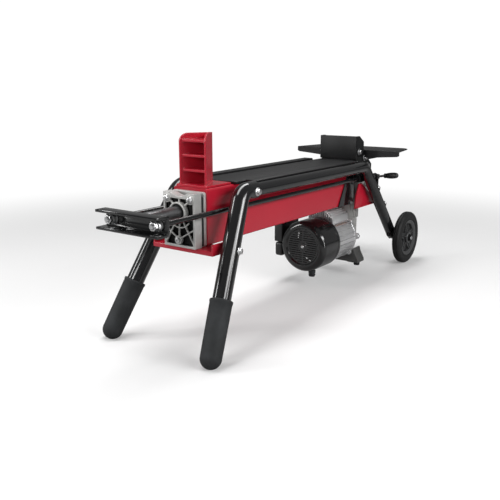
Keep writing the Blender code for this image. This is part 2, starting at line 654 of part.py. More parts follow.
def make_front_legs():
    for side, sign in (("left", 1), ("right", -1)):
        knee, ground = leg_line(sign)
        down = (ground - knee).normalized()
        tip = ground - down * (GRIP_END_RADIUS / -down.z + 0.006)
        mouth = LEG_KNEE_X + LEG_MOUTH
        path = bent_path([tip, knee, at(mouth, sign * RAIL_Y, RAIL_Z)], LEG_BEND)
        leg = tube("front_leg_" + side, path, LEG_RADIUS, BLACK, knee)
        cut(leg, cylinder("leg_socket_" + side, (mouth - SOCKET_DEPTH, sign * RAIL_Y, RAIL_Z),
                          (mouth + 0.02, sign * RAIL_Y, RAIL_Z), RAIL_RADIUS + GAP, cutter=True))
        make_grip("foot_grip_" + side, ground, down, tip)


def make_grip(name, ground, down, tip):
    """Rubber sleeve over the leg's end, with a dome that is cut flat where it stands."""
    radius, bore = GRIP_END_RADIUS, LEG_RADIUS + GAP
    dome = (GRIP_FLAT - radius) / down.z
    centre = ground - down * dome
    centre.z = radius - GRIP_FLAT
    up = -down
    length = GRIP_LENGTH - radius
    depth = (tip - centre).dot(up) - GAP
    profile = [(bore, length), (GRIP_RADIUS - 0.001, length), (GRIP_RADIUS, length - 0.001)]
    for step in range(7):
        angle = math.radians(90 * step / 6)
        profile.append((radius * math.cos(angle), -radius * math.sin(angle)))
    profile[-1] = (0.0, -radius)
    profile = [(0.0, depth), (bore, depth)] + profile
    grip = turned(name, profile, centre, up, RUBBER, sides=24)
    low = ground + Vector((-0.06, -0.06, -0.03))
    form = bmesh.new()
    bmesh.ops.create_cube(form, size=1.0)
    bmesh.ops.scale(form, verts=form.verts, vec=(0.12, 0.12, 0.03))
    bmesh.ops.translate(form, verts=form.verts, vec=low + Vector((0.06, 0.06, 0.015)))
    cut(grip, from_bmesh(name + "_ground", form, None, ground, cutter=True))


# ---------------------------------------------------------------- saddles and axle
def make_saddles():
    floor = BEAM_FLOOR - CAP_DROP - GAP
    wall, x0, x1 = 0.004, 0.006, 0.056
    reach = RAIL_Y - 0.0035
    foot = floor - SADDLE_DEPTH
    channel = [(x0, foot), (x0 + wall, foot), (x0 + wall, floor - wall), (x1 - wall, floor - wall),
               (x1 - wall, foot), (x1, foot), (x1, floor), (x0, floor)]
    saddle = plate("front_saddle", "Y", [channel], -reach, reach, RED)
    for sign in (1, -1):
        inner, outer = sign * (reach - wall), sign * reach
        join(saddle, box(f"saddle_tab_{sign}", (x0 + 0.001, min(inner, outer), foot),
                         (x1 - 0.001, max(inner, outer), floor + 0.012), cutter=True))
    round_edges(saddle, 0.001, 1)
    inner = RAIL_Y - RAIL_RADIUS - 0.0075
    outer = inner + wall
    front, back = REAR_KNEE_X - 0.008, VALVE_X1 - 0.0046
    z0, z1 = CAP_Z0 - 0.0084, LUG_Z0 - 0.003
    side_shape = [(front, z0), (back, z0), (back, z0 + 0.012), (front + 0.034, z1), (front + 0.018, z1),
                  (front + 0.004, z0 + 0.030)]
    shelf_x0 = PUMP_X1 + PUMP_COVER + 0.004
    skin = 0.0005
    rear = box("rear_saddle", (shelf_x0, -outer + skin, z0 + skin),
               (back - 0.001, outer - skin, z0 + wall), RED)
    for sign in (1, -1):
        a, b = sign * inner, sign * outer
        join(rear, plate(f"rear_saddle_side_{sign}", "Y", [side_shape], min(a, b), max(a, b), cutter=True))
        a, b = sign * (outer - 0.001), sign * (RAIL_Y - RAIL_RADIUS - 0.0008)
        join(rear, box(f"rear_saddle_foot_{sign}", (front + 0.002, min(a, b), z0 + 2 * skin),
                       (back - 0.002, max(a, b), z0 + wall - skin), cutter=True))
    round_edges(rear, 0.0008, 1)
    for side, sign in (("left", 1), ("right", -1)):
        inboard = RAIL_Y - RAIL_RADIUS - AXLE_INBOARD
        cylinder("axle_" + side, (AXLE_X, sign * inboard, WHEEL_RADIUS),
                 (AXLE_X, sign * (WHEEL_Y1 + 0.007), WHEEL_RADIUS), AXLE_RADIUS, STEEL, sides=24)


def make_wheels():
    for side, sign in (("left", 1), ("right", -1)):
        pivot = empty("wheel_axis_" + side, at(AXLE_X, sign * (WHEEL_Y0 + WHEEL_Y1) / 2, WHEEL_RADIUS))
        outer, inner = WHEEL_RADIUS, WHEEL_RADIUS - TYRE_DEPTH
        half = TYRE_WIDTH / 2
        tyre = [(inner, half - 0.002), (inner + 0.004, half), (outer - 0.007, half),
                (outer - 0.0015, half - 0.0045), (outer, half - 0.009), (outer, -half + 0.009),
                (outer - 0.0015, -half + 0.0045),
                (outer - 0.007, -half), (inner + 0.004, -half), (inner, -half + 0.002)]
        # The steps are a multiple of four, so a vertex of the tread rests on the ground.
        turned("tyre_" + side, tyre, pivot.location, (0, 1, 0), RUBBER, sides=36, parent=pivot)
        rim = inner - GAP
        bore = AXLE_RADIUS + BORE
        hub = [(bore, half), (0.0125, half), (0.0150, half - 0.004), (rim - 0.006, half - 0.008),
               (rim, half - 0.003), (rim, -half + 0.003), (rim - 0.006, -half + 0.008),
               (0.0150, -half + 0.004), (0.0125, -half), (bore, -half)]
        turned("hub_" + side, hub, pivot.location, (0, 1, 0), PLASTIC, sides=32, parent=pivot)


# ---------------------------------------------------------------- motor and pump
def ring(name, x0, x1, outer, inner, material, y=0.0, z=MOTOR_Z, parent=None, sides=32):
    return plate(name, "X", [circle(y, z, outer, sides), circle(y, z, inner, sides)], x0, x1, material,
                 parent=parent)


def make_motor():
    z, wall = MOTOR_Z, COVER_WALL
    length, radius = COVER_LENGTH, COVER_RADIUS
    outside, inside = [], []
    bend = 0.012
    for step in range(5):
        angle = math.radians(90 * step / 4)
        outside.append((radius - bend + bend * math.cos(angle), length - bend + bend * math.sin(angle)))
        inside.append((radius - bend + (bend - wall) * math.cos(angle),
                       length - bend + (bend - wall) * math.sin(angle)))
    face_out = [(0.046, length), (0.043, length - 0.004), (0.0, length - 0.004)]
    face_in = [(0.0, length - 0.004 - wall), (0.044, length - 0.004 - wall)]
    cover = face_out[::-1] + outside[::-1] + [(radius, 0.0), (radius - wall, 0.0)] + inside + face_in[::-1]
    turned("fan_cover", cover, at(MOTOR_X0 + length, 0, z), (-1, 0, 0), PLASTIC, sides=32)

    # The housing is open at the front, where the end bell closes it.
    rear_wall = 0.008
    inner = BODY_RADIUS - BODY_WALL
    bell = 0.004
    body = cylinder("motor_housing", (BODY_X0 + bell + GAP, 0, z), (BODY_X1, 0, z), BODY_RADIUS, CAST,
                    sides=36)
    cut(body, cylinder("motor_cavity", (BODY_X0 - 0.01, 0, z), (BODY_X1 - rear_wall, 0, z), inner,
                       sides=36, cutter=True),
        cylinder("motor_shaft_hole", (BODY_X1 - 0.02, 0, z), (BODY_X1 + 0.01, 0, z),
                 SHAFT_RADIUS + BORE, sides=24, cutter=True))
    ring("end_bell", BODY_X0, BODY_X0 + bell, BODY_RADIUS, SHAFT_RADIUS + BORE, CAST)
    bearing_in = SHAFT_RADIUS + GAP
    ring("bearing_front", BODY_X0 + bell + GAP, BODY_X0 + bell + GAP + BEARING_WIDTH, BEARING_RADIUS,
         bearing_in, STEEL)
    ring("bearing_rear", BODY_X1 - rear_wall - GAP - BEARING_WIDTH, BODY_X1 - rear_wall - GAP,
         BEARING_RADIUS, bearing_in, STEEL)
    core_x0, core_x1 = BODY_X0 + 0.022, BODY_X1 - 0.024
    ring("stator", core_x0, core_x1, inner - GAP, 0.0310, COPPER)
    rotor = empty("rotor_axis", at(core_x0, 0, z))
    shaft = cylinder("rotor_shaft", (MOTOR_X0 + 0.022, 0, z), (PUMP_X1 - 0.004, 0, z), SHAFT_RADIUS, STEEL,
                     sides=24, parent=rotor)
    join(shaft, cylinder("rotor_core", (core_x0, 0, z), (core_x1, 0, z), 0.0300, cutter=True))
    make_fan(rotor)
    make_pump(rotor)


def make_fan(rotor):
    """Radial cooling fan: a hub disc with straight blades, pressed on the shaft's front end."""
    z, x0, x1 = MOTOR_Z, MOTOR_X0 + 0.026, MOTOR_X0 + 0.030
    fan = ring("cooling_fan", x0, x1, COVER_RADIUS - 0.0318, SHAFT_RADIUS + GAP, PLASTIC, parent=rotor)
    blades = 7
    for index in range(blades):
        angle = 2 * math.pi * index / blades
        along = Vector((math.cos(angle), math.sin(angle)))
        across = Vector((-along.y, along.x)) * 0.001
        near, far = along * 0.016, along * (COVER_RADIUS - 0.0098)
        corners = (near - across, far - across, far + across, near + across)
        outline = [(corner.x, z + corner.y) for corner in corners]
        join(fan, plate(f"fan_blade_{index}", "X", [outline], x1 - 0.001, x1 + 0.020, cutter=True))


def gear_outline(y, z, turn):
    """Straight-flanked teeth about a centre, turned by a share of one tooth."""
    tip, root = GEAR_PITCH + GEAR_ADDENDUM, GEAR_PITCH - GEAR_ADDENDUM - 0.0006
    pitch = 2 * math.pi / GEAR_TEETH
    points = []
    for tooth in range(GEAR_TEETH):
        for share, radius in ((-0.29, root), (-0.11, tip), (0.11, tip), (0.29, root)):
            angle = pitch * (tooth + turn + share)
            points.append((y + radius * math.cos(angle), z + radius * math.sin(angle)))
    return points


def make_pump(rotor):
    """Gear pump between the motor and the valve block, with its driven gear above the drive gear."""
    z, upper = MOTOR_Z, MOTOR_Z + 2 * GEAR_PITCH + 0.0010
    half = 0.0300
    neck_top = CAP_Z0 + 0.006 - GAP
    pump = plate("pump_housing", "X", [rounded_rectangle(-half, MOTOR_Z - 0.030, half, neck_top, 0.006)],
                 PUMP_X0, PUMP_X1, CAST)
    pocket_x0 = PUMP_X1 - GEAR_WIDTH - 0.004
    pocket_r = GEAR_PITCH + GEAR_ADDENDUM + BORE
    for name, centre in (("lower", z), ("upper", upper)):
        cut(pump, cylinder("pump_pocket_" + name, (pocket_x0, 0, centre), (PUMP_X1 + 0.01, 0, centre),
                           pocket_r, cutter=True))
    cut(pump, cylinder("pump_shaft_hole", (PUMP_X0 - 0.01, 0, z), (PUMP_X1, 0, z), SHAFT_RADIUS + BORE,
                       sides=24, cutter=True))
    plate("pump_cover", "X", [rounded_rectangle(-half, MOTOR_Z - 0.030, half, upper + 0.020, 0.006)],
          PUMP_X1 + GAP, PUMP_X1 + GAP + PUMP_COVER, CAST)
    x0, x1 = pocket_x0 + 0.001, pocket_x0 + 0.001 + GEAR_WIDTH
    plate("pump_drive_gear", "X", [gear_outline(0, z, 0.25), circle(0, z, SHAFT_RADIUS + GAP)], x0, x1,
          STEEL, parent=rotor)
    driven = empty("driven_gear_axis", at(x0, 0, upper))
    plate("pump_driven_gear", "X", [gear_outline(0, upper, 0.25)], x0, x1, STEEL, parent=driven)


def make_motor_mounts():
    foot_x0, foot_x1 = BODY_X1 - 0.0123, PUMP_X1 - 0.0106
    sole = MOTOR_Z - BODY_RADIUS - 0.0091
    outline = ((0.064, 0.0), (0.037, 0.0), (0.032, 0.0012), (-0.032, 0.0012), (-0.037, 0.0), (-0.064, 0.0),
               (-0.064, 0.007), (-0.054, 0.026), (-0.050, 0.040), (0.050, 0.040), (0.054, 0.026), (0.064, 0.007))
    arch = [(y, sole + z) for y, z in outline]
    bracket = plate("foot_bracket", "X", [arch], foot_x0, foot_x1, CAST)
    cut(bracket, cylinder("bracket_saddle", (foot_x0 - 0.01, 0, MOTOR_Z), (foot_x1 + 0.01, 0, MOTOR_Z),
                          BODY_RADIUS + GAP, sides=48, cutter=True))
    for side, y in (("left", 0.050), ("right", -0.050)):
        cylinder("rubber_foot_" + side, (foot_x1 - 0.012, y, sole - GAP), (foot_x1 - 0.012, y, sole - 0.011),
                 0.0085, RUBBER, sides=24, radius_end=0.0072)
    x, y, top = MOTOR_X0 + 0.034, -0.010, MOTOR_Z - COVER_RADIUS - 0.0009
    cylinder("rubber_foot_front", (x, y, top), (x, y, top - 0.0160), 0.0088, RUBBER, sides=24,
             radius_end=0.0080)


def make_switch():
    y0, y1 = COVER_RADIUS + 0.001, COVER_RADIUS + 0.024
    x0, x1 = MOTOR_X0 + 0.009, MOTOR_X0 + COVER_LENGTH + 0.008
    split = MOTOR_Z + 0.0019
    case = box("switch_box", (x0, y0, split), (x1, y1, split + 0.049), PLASTIC)
    button_z, button_y = split + 0.026, (y0 + y1) / 2
    cut(case, cylinder("button_well", (x1 - 0.0105, button_y, button_z), (x1 + 0.01, button_y, button_z),
                       0.0082, sides=24, cutter=True))
    round_edges(case, 0.0025)
    low = split - 0.036
    round_edges(box("capacitor_box", (x0 + 0.001, y0, low), (x1 - 0.004, y1 - 0.001, split - 0.002), PLASTIC),
                0.006)
    cylinder("start_button", (x1 - 0.0035, button_y, button_z), (x1 + 0.0035, button_y, button_z), 0.0076,
             GREEN, sides=24)


# ---------------------------------------------------------------- control lever
def make_lever():
    face = CAP_WIDTH / 2
    cylinder("valve_spool", (SPOOL_X, face - 0.006 - SPOOL_FREE, SPOOL_Z), (SPOOL_X, SPOOL_END_Y, SPOOL_Z),
             SPOOL_RADIUS, STEEL, sides=24)
    pivot = empty("lever_axis", at(SPOOL_X, PIVOT_Y, PIVOT_Z))
    x0, x1 = SPOOL_X - HUB_LENGTH / 2, SPOOL_X + HUB_LENGTH / 2
    arm_end = (SPOOL_X, PIVOT_Y - LEVER_REACH, PIVOT_Z + 0.0040)
    lever = cylinder("control_lever", (x0, PIVOT_Y, PIVOT_Z), (x1, PIVOT_Y, PIVOT_Z), HUB_RADIUS, PLASTIC,
                     sides=24, parent=pivot)
    join(lever, box("lever_toe", (x0 + 0.004, PIVOT_Y - 0.0035, SPOOL_Z - 0.001),
                    (x1 - 0.004, SPOOL_END_Y - GAP, PIVOT_Z - 0.004), cutter=True),
         cylinder("lever_arm", (SPOOL_X, PIVOT_Y, PIVOT_Z), arm_end, 0.0030,
                  sides=20, cutter=True))
    cut(lever, cylinder("lever_bore", (x0 - 0.01, PIVOT_Y, PIVOT_Z), (x1 + 0.01, PIVOT_Y, PIVOT_Z),
                        PIN_RADIUS + BORE, sides=20, cutter=True))
    reach = Vector((0, -1, 0.10)).normalized()
    start = at(*arm_end) - Vector((0, GAP, 0))
    tip = HANDLE_LENGTH
    shape = [(0.0, tip), (0.0045, tip - 0.001), (0.0070, tip - 0.006), (0.0078, tip * 0.55), (0.0068, 0.010),
             (0.0050, 0.003), (0.0048, 0.0), (0.0, 0.0)]
    turned("lever_grip", shape, start, reach, PLASTIC, sides=24, parent=pivot)
    plate_x0 = x1 + GAP
    edge = PIVOT_Y - HUB_RADIUS
    outline = [(-face - GAP, SPOOL_Z - 0.008), (edge, SPOOL_Z - 0.008), (edge, PIVOT_Z + 0.006),
               (PIVOT_Y + 0.0075, PIVOT_Z + 0.006), (PIVOT_Y + 0.0075, LUG_Z0 - 0.0015),
               (-face - GAP, LUG_Z0 - 0.0015)]
    bracket = plate("lever_bracket", "X", [outline], plate_x0, plate_x0 + 0.003, STEEL)
    join(bracket, cylinder("lever_pin", (x0 - 0.002, PIVOT_Y, PIVOT_Z), (plate_x0 + 0.002, PIVOT_Y, PIVOT_Z),
                           PIN_RADIUS, sides=20, cutter=True))


make_beam()
make_front_cap()
make_rear_end()
make_wedge()
make_ram()
make_rails()
make_front_legs()
make_saddles()
make_wheels()
make_motor()
make_motor_mounts()
make_switch()
make_lever()
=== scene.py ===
"""Electric log splitter: the finished surfaces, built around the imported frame.

Lengths are metres and +Z is up. Stations along the beam are counted in +X from the front cap's face.
"""

import json
import math

import bmesh
import bpy
from bpy.props import FloatProperty, FloatVectorProperty, IntProperty, PointerProperty
from mathutils import Matrix, Vector


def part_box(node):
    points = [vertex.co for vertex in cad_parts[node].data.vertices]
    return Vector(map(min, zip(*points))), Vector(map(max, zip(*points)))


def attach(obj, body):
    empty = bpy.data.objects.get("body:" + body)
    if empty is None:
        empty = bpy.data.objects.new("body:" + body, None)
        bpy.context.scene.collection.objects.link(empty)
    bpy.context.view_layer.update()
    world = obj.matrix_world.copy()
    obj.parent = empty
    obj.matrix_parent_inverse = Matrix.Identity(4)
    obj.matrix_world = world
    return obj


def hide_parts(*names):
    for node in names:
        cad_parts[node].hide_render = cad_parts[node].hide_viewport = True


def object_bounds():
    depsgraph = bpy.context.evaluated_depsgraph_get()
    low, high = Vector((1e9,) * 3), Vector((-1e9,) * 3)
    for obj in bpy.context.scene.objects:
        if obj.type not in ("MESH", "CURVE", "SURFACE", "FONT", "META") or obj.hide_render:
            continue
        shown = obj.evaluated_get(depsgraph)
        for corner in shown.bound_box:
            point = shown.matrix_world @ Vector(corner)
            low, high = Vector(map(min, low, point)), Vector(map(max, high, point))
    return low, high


bl_info = {
    "name": "Log splitter",
    "version": (1, 0, 0),
    "blender": (4, 5, 0),
    "location": "View3D > Sidebar > Log splitter",
    "description": "Builds the finished surfaces of an electric log splitter around its packed frame",
    "category": "Object",
}

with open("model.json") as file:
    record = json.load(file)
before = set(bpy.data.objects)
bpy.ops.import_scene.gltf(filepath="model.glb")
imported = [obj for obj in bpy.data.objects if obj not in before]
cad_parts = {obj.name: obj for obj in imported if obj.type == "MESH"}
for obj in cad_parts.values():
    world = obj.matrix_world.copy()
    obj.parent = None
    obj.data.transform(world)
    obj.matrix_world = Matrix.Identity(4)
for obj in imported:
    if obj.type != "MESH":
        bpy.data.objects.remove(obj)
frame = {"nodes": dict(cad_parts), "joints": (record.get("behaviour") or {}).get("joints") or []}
cad_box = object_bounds()


def low(node):
    """A CAD node's lowest corner."""
    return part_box(node)[0]


def high(node):
    """A CAD node's highest corner."""
    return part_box(node)[1]


# The cap's back meets the gasket, and the cap is this thick at its rim.
CAP_THICK = 0.0195
ORIGIN_X = high("front_cap").x - CAP_THICK


def at(x, y, z):
    """A point given by its station along the beam."""
    return Vector((x + ORIGIN_X, y, z))


def station(x):
    """A place in the machine's frame as a station along the beam."""
    return x - ORIGIN_X


def middle(node):
    return (low(node) + high(node)) / 2


# ------------------------------------------------------------------------------ sizes and colours
def length(name, description, default):
    return FloatProperty(name=name, description=description, default=default, unit="LENGTH", precision=5)


def tint(name, description, default):
    return FloatVectorProperty(name=name, description=description, default=default, subtype="COLOR",
                               min=0.0, max=1.0)


class SplitterColours(bpy.types.PropertyGroup):
    """Base colours of the finishes."""

    red: tint("Enamel red", "Crimson gloss enamel of the beam and wedge", (0.470, 0.012, 0.030))
    black: tint("Enamel black", "Gloss black of the tubes", (0.0060, 0.0062, 0.0068))
    casting: tint("Casting", "Light grey of the aluminium castings", (0.520, 0.518, 0.505))
    shell: tint("Motor body", "Silver of the finned motor body", (0.700, 0.700, 0.705))
    steel: tint("Steel", "Bright ground steel", (0.620, 0.625, 0.640))
    zinc: tint("Zinc", "Plated fixings", (0.660, 0.665, 0.670))
    rubber: tint("Rubber", "Foot grips and feet", (0.0200, 0.0215, 0.0230))
    tyre: tint("Tyre", "Tyre tread and walls", (0.0120, 0.0122, 0.0125))
    plastic: tint("Plastic", "Gloss black mouldings", (0.0055, 0.0057, 0.0060))
    hub: tint("Wheel hub", "Dark grey wheel moulding", (0.0400, 0.0410, 0.0420))
    floor: tint("Floor", "Pale studio floor", (0.86, 0.86, 0.86))


class TubeSizes(bpy.types.PropertyGroup):
    """Rails, legs and the bars between them."""

    rail_radius: length("Rail radius", "Radius of the two long rails", 0.0135)
    rail_bend: length("Rail bend", "Bend radius of the rails' centre line", 0.034)
    leg_radius: length("Leg radius", "Radius of the thicker front legs", 0.017)
    leg_bend: length("Leg bend", "Bend radius at the legs' knees", 0.030)
    leg_mouth: length("Leg mouth", "Level stretch of the leg after its knee", 0.042)
    socket: length("Socket", "How far a rail goes into its leg", 0.026)
    grip_radius: length("Grip radius", "Radius of the foot grips at their top", 0.0212)
    grip_end: length("Grip end", "Radius of the foot grips' domed end", 0.0196)
    grip_length: length("Grip length", "Length of a foot grip with its dome", 0.123)
    sides: IntProperty(name="Sides", description="Faces around a tube", default=48, min=12)


class CastingSizes(bpy.types.PropertyGroup):
    """Front cap and valve block."""

    rim: length("Rim", "Wall around the cap's pockets", 0.0042)
    pocket: length("Pocket depth", "Depth of the pockets in the cap's face", 0.0085)
    rib: length("Rib", "Thickness of the cap's ribs", 0.0024)
    grain: length("Grain", "Size of the mesh that the castings are smoothed on", 0.0006)


class WheelSizes(bpy.types.PropertyGroup):
    """Wheels."""

    spokes: IntProperty(name="Spokes", description="Spokes in each wheel", default=5, min=3)
    rim_depth: length("Rim depth", "Depth of the moulded rim", 0.0085)
    boss: length("Boss", "Radius of the hub's centre", 0.0140)
    spoke: length("Spoke", "Width of a spoke", 0.0150)


class MotorSizes(bpy.types.PropertyGroup):
    """Motor, fan cover and pump."""

    cover_wall: length("Cover wall", "Thickness of the fan cover's shell", 0.002)
    slot: length("Slot", "Height of the fan cover's slots", 0.0019)
    slot_pitch: length("Slot pitch", "From one slot to the next", 0.0053)
    fin_depth: length("Fin depth", "Depth of the motor body's top fins", 0.0075)
    groove: length("Groove", "Depth of the grooves down the body's sides", 0.0040)


class FixingSizes(bpy.types.PropertyGroup):
    """Bolts and nuts."""

    flange_bolt: length("Flange bolt", "Across the flats of the frame's flange bolts", 0.0100)
    nut: length("Tie nut", "Across the flats of the tie rods' nuts", 0.0160)
    small: length("Small bolt", "Across the flats of the casting's bolts", 0.0080)


class SplitterSettings(bpy.types.PropertyGroup):
    """All that a user may change."""

    colours: PointerProperty(type=SplitterColours, name="Colours", description="Base colours")
    tubes: PointerProperty(type=TubeSizes, name="Tubes", description="Rails and legs")
    castings: PointerProperty(type=CastingSizes, name="Castings", description="Cap and valve block")
    wheels: PointerProperty(type=WheelSizes, name="Wheels", description="Wheels")
    motor: PointerProperty(type=MotorSizes, name="Motor", description="Motor and pump")
    fixings: PointerProperty(type=FixingSizes, name="Fixings", description="Bolts and nuts")


# ------------------------------------------------------------------------------ shader maths
class Value:
    """A socket of one finish; arithmetic on it adds Math nodes."""

    def __init__(self, finish, socket):
        self.finish, self.socket = finish, socket

    def maths(self, operation, a, b):
        return self.finish.node("ShaderNodeMath", {"operation": operation}, {0: a, 1: b})

    def __add__(self, other):
        return self.maths("ADD", self, other)

    __radd__ = __add__

    def __sub__(self, other):
        return self.maths("SUBTRACT", self, other)

    def __rsub__(self, other):
        return self.maths("SUBTRACT", other, self)

    def __mul__(self, other):
        return self.maths("MULTIPLY", self, other)

    __rmul__ = __mul__

    def __abs__(self):
        return self.maths("ABSOLUTE", self, 0.0)


class Finish:
    """A material whose shader is fed from the piece's own coordinates."""

    def __init__(self, name, sockets):
        self.material = bpy.data.materials.new(name)
        self.material.use_nodes = True
        self.tree = self.material.node_tree
        self.shader = self.tree.nodes["Principled BSDF"]
        for key, value in sockets.items():
            self.shader.inputs[key].default_value = value
        self.place = self.node("ShaderNodeTexCoord", output="Object")

    def node(self, kind, settings=None, sockets=None, output=0):
        """Add a node: its settings first, then a number, colour or link for each socket."""
        made = self.tree.nodes.new(kind)
        for key, value in (settings or {}).items():
            setattr(made, key, value)
        for key, value in (sockets or {}).items():
            if isinstance(value, Value):
                self.tree.links.new(value.socket, made.inputs[key])
            else:
                made.inputs[key].default_value = value
        return Value(self, made.outputs[output])

    def feed(self, **links):
        for key, value in links.items():
            self.tree.links.new(value.socket, self.shader.inputs[key.replace("_", " ")])

    def noise(self, scale, detail=3.0, roughness=0.55, place=None):
        return self.node("ShaderNodeTexNoise", sockets={
            "Vector": place or self.place, "Scale": scale, "Detail": detail, "Roughness": roughness})

    def cells(self, scale, place=None):
        return self.node("ShaderNodeTexVoronoi", sockets={"Vector": place or self.place, "Scale": scale})

    def stretched(self, x, y, z):
        """The piece's coordinates, drawn out so that a texture runs in streaks."""
        return self.node("ShaderNodeVectorMath", {"operation": "MULTIPLY"}, {0: self.place, 1: (x, y, z)})

    def part_of(self, axis):
        return self.node("ShaderNodeSeparateXYZ", sockets={0: self.place}, output=axis)

    def spread(self, value, start, end, first=0.0, last=1.0):
        return self.node("ShaderNodeMapRange", {"interpolation_type": "SMOOTHSTEP"}, {
            "Value": value, "From Min": start, "From Max": end, "To Min": first, "To Max": last})

    def mix(self, share, first, second):
        """Blend two colours, given as triples or links."""
        ends = {key: value if isinstance(value, Value) else (*value, 1.0)
                for key, value in ((6, first), (7, second))}
        return self.node("ShaderNodeMix", {"data_type": "RGBA"}, {0: share, **ends}, output=2)

    def edges(self, start=0.53, end=0.60):
        """1 along outer edges, where a finish wears."""
        sharp = self.node("ShaderNodeNewGeometry", output="Pointiness")
        return self.spread(sharp, start, end)

    def bump(self, height, distance, strength=1.0):
        normal = self.node("ShaderNodeBump", sockets={
            "Height": height, "Distance": distance, "Strength": strength})
        self.feed(Normal=normal)


def shade(colour, factor):
    """A colour made lighter or darker."""
    return tuple(min(1.0, part * factor) for part in colour)


def enamel(name, colour, roughness, coat, worn):
    """Gloss paint: faint orange peel, slow tone changes, dust in streaks and rubbed edges."""
    finish = Finish(name, {"Coat Weight": coat, "Coat Roughness": 0.06, "Specular IOR Level": 0.42})
    cloud, peel = finish.noise(7.0), finish.noise(420.0, 2.0)
    speck = finish.spread(finish.noise(1500.0, 1.0), 0.68, 0.78)
    chip = finish.spread(finish.cells(130.0), 0.022, 0.034, 1.0, 0.0) * finish.spread(
        finish.noise(26.0, 3.0), 0.60, 0.68)
    base = finish.mix(finish.spread(cloud, 0.25, 0.75), shade(colour, 0.96), shade(colour, 1.04))
    base = finish.mix(speck * 0.08, base, shade(colour, 2.5))
    finish.feed(Base_Color=finish.mix(chip * 0.6, base, worn),
                Roughness=roughness + finish.spread(cloud, 0.25, 0.75) * 0.025 + chip * 0.3)
    finish.bump(peel, 0.00003)
    return finish.material


def powder(name, colour, roughness, worn):
    """Satin powder coat with a fine pebble and light scuffs."""
    finish = Finish(name, {"Specular IOR Level": 0.36})
    pebble, cloud = finish.cells(1500.0), finish.noise(11.0)
    streak = finish.noise(50.0, 4.0, 0.6, finish.stretched(0.12, 1.0, 1.0))
    scuff = finish.spread(streak, 0.62, 0.74)
    base = finish.mix(finish.spread(cloud, 0.3, 0.7), shade(colour, 0.9), shade(colour, 1.2))
    finish.feed(Base_Color=finish.mix(scuff * 0.08, base, worn),
                Roughness=roughness + cloud * 0.08 + scuff * 0.06)
    finish.bump(pebble, 0.00008, 0.5)
    return finish.material


def casting(name, colour, roughness, metallic, pockets=None):
    """Die-cast aluminium: sandy skin, brighter rubbed edges, and painted shade, near black, down in any pockets."""
    finish = Finish(name, {"Metallic": metallic})
    sand, cloud = finish.noise(900.0, 4.0, 0.7), finish.noise(28.0, 4.0)
    pores = finish.spread(finish.cells(700.0), 0.03, 0.16)
    rub = finish.edges(0.52, 0.58)
    base = finish.mix(finish.spread(cloud, 0.3, 0.75), shade(colour, 0.80), shade(colour, 1.08))
    base = finish.mix(1.0 - pores, base, shade(colour, 0.45))
    base = finish.mix(rub * 0.55, base, shade(colour, 1.35))
    # Painted shade: below the cap's face the pocket floors and walls go near black, standing for the shade down in
    # the recesses.
    if pockets:
        depth, width, foot, head = pockets
        inside = (finish.spread(finish.part_of("X"), depth, depth + 0.0020)
                  * finish.spread(abs(finish.part_of("Y")), width - 0.0012, width, 1.0, 0.0)
                  * finish.spread(finish.part_of("Z"), foot, foot + 0.0012)
                  * finish.spread(finish.part_of("Z"), head - 0.0012, head, 1.0, 0.0))
        base = finish.mix(inside, base, shade(colour, 0.010))
    finish.feed(Base_Color=base, Roughness=roughness + sand * 0.16 - rub * 0.12)
    finish.bump(sand * 0.8 + pores * 0.2, 0.00012)
    return finish.material


def metal(name, colour, roughness, streaks, stain=0.0):
    """Bright metal with fine tool marks that run round or along the piece."""
    finish = Finish(name, {"Metallic": 1.0})
    lines = finish.noise(900.0, 3.0, 0.6, finish.stretched(*streaks))
    cloud = finish.noise(45.0, 3.0)
    base = finish.mix(finish.spread(lines, 0.3, 0.7), shade(colour, 0.82), shade(colour, 1.10))
    base = finish.mix(finish.spread(cloud, 0.55, 0.75) * stain, base, shade(colour, 0.35))
    finish.feed(Base_Color=base, Roughness=roughness + lines * 0.14 + cloud * 0.05)
    finish.bump(lines, 0.00002, 0.6)
    return finish.material


def rubber(name, colour, roughness, grain):
    """Matt moulded rubber with bloom and a fine pebble."""
    finish = Finish(name, {"Specular IOR Level": 0.32})
    pebble, bloom = finish.noise(grain, 3.0, 0.7), finish.noise(22.0, 5.0, 0.65)
    base = finish.mix(finish.spread(bloom, 0.35, 0.75), shade(colour, 0.80), shade(colour, 1.55))
    base = finish.mix(finish.edges() * 0.35, base, shade(colour, 3.0))
    finish.feed(Base_Color=base, Roughness=roughness + bloom * 0.12)
    finish.bump(pebble, 0.00012, 0.7)
    return finish.material


def moulding(name, colour, roughness, coat):
    """Injection-moulded plastic: slow flow marks, fine grain, a few light scuffs."""
    finish = Finish(name, {"Coat Weight": coat, "Coat Roughness": 0.08})
    flow = finish.noise(14.0, 2.0, 0.5, finish.stretched(0.4, 1.0, 1.0))
    grain, scuff = finish.noise(1200.0, 2.0), finish.spread(finish.noise(90.0, 5.0, 0.7), 0.64, 0.74)
    base = finish.mix(finish.spread(flow, 0.3, 0.7), shade(colour, 0.85), shade(colour, 1.30))
    base = finish.mix(scuff * 0.12 + finish.edges() * 0.10, base, shade(colour, 8.0))
    finish.feed(Base_Color=base, Roughness=roughness + flow * 0.08 + scuff * 0.10)
    finish.bump(grain * 0.4 + flow * 0.6, 0.00005)
    return finish.material


def windings(name):
    """Copper turns in a laminated core."""
    finish = Finish(name, {"Metallic": 1.0})
    turns = finish.node("ShaderNodeTexWave", {"wave_type": "BANDS", "bands_direction": "X"},
                        {"Vector": finish.place, "Scale": 300.0, "Distortion": 1.5}, output=1)
    finish.feed(Base_Color=finish.mix(turns, (0.18, 0.07, 0.03), (0.62, 0.28, 0.13)),
                Roughness=0.30 + turns * 0.15)
    finish.bump(turns, 0.0002)
    return finish.material


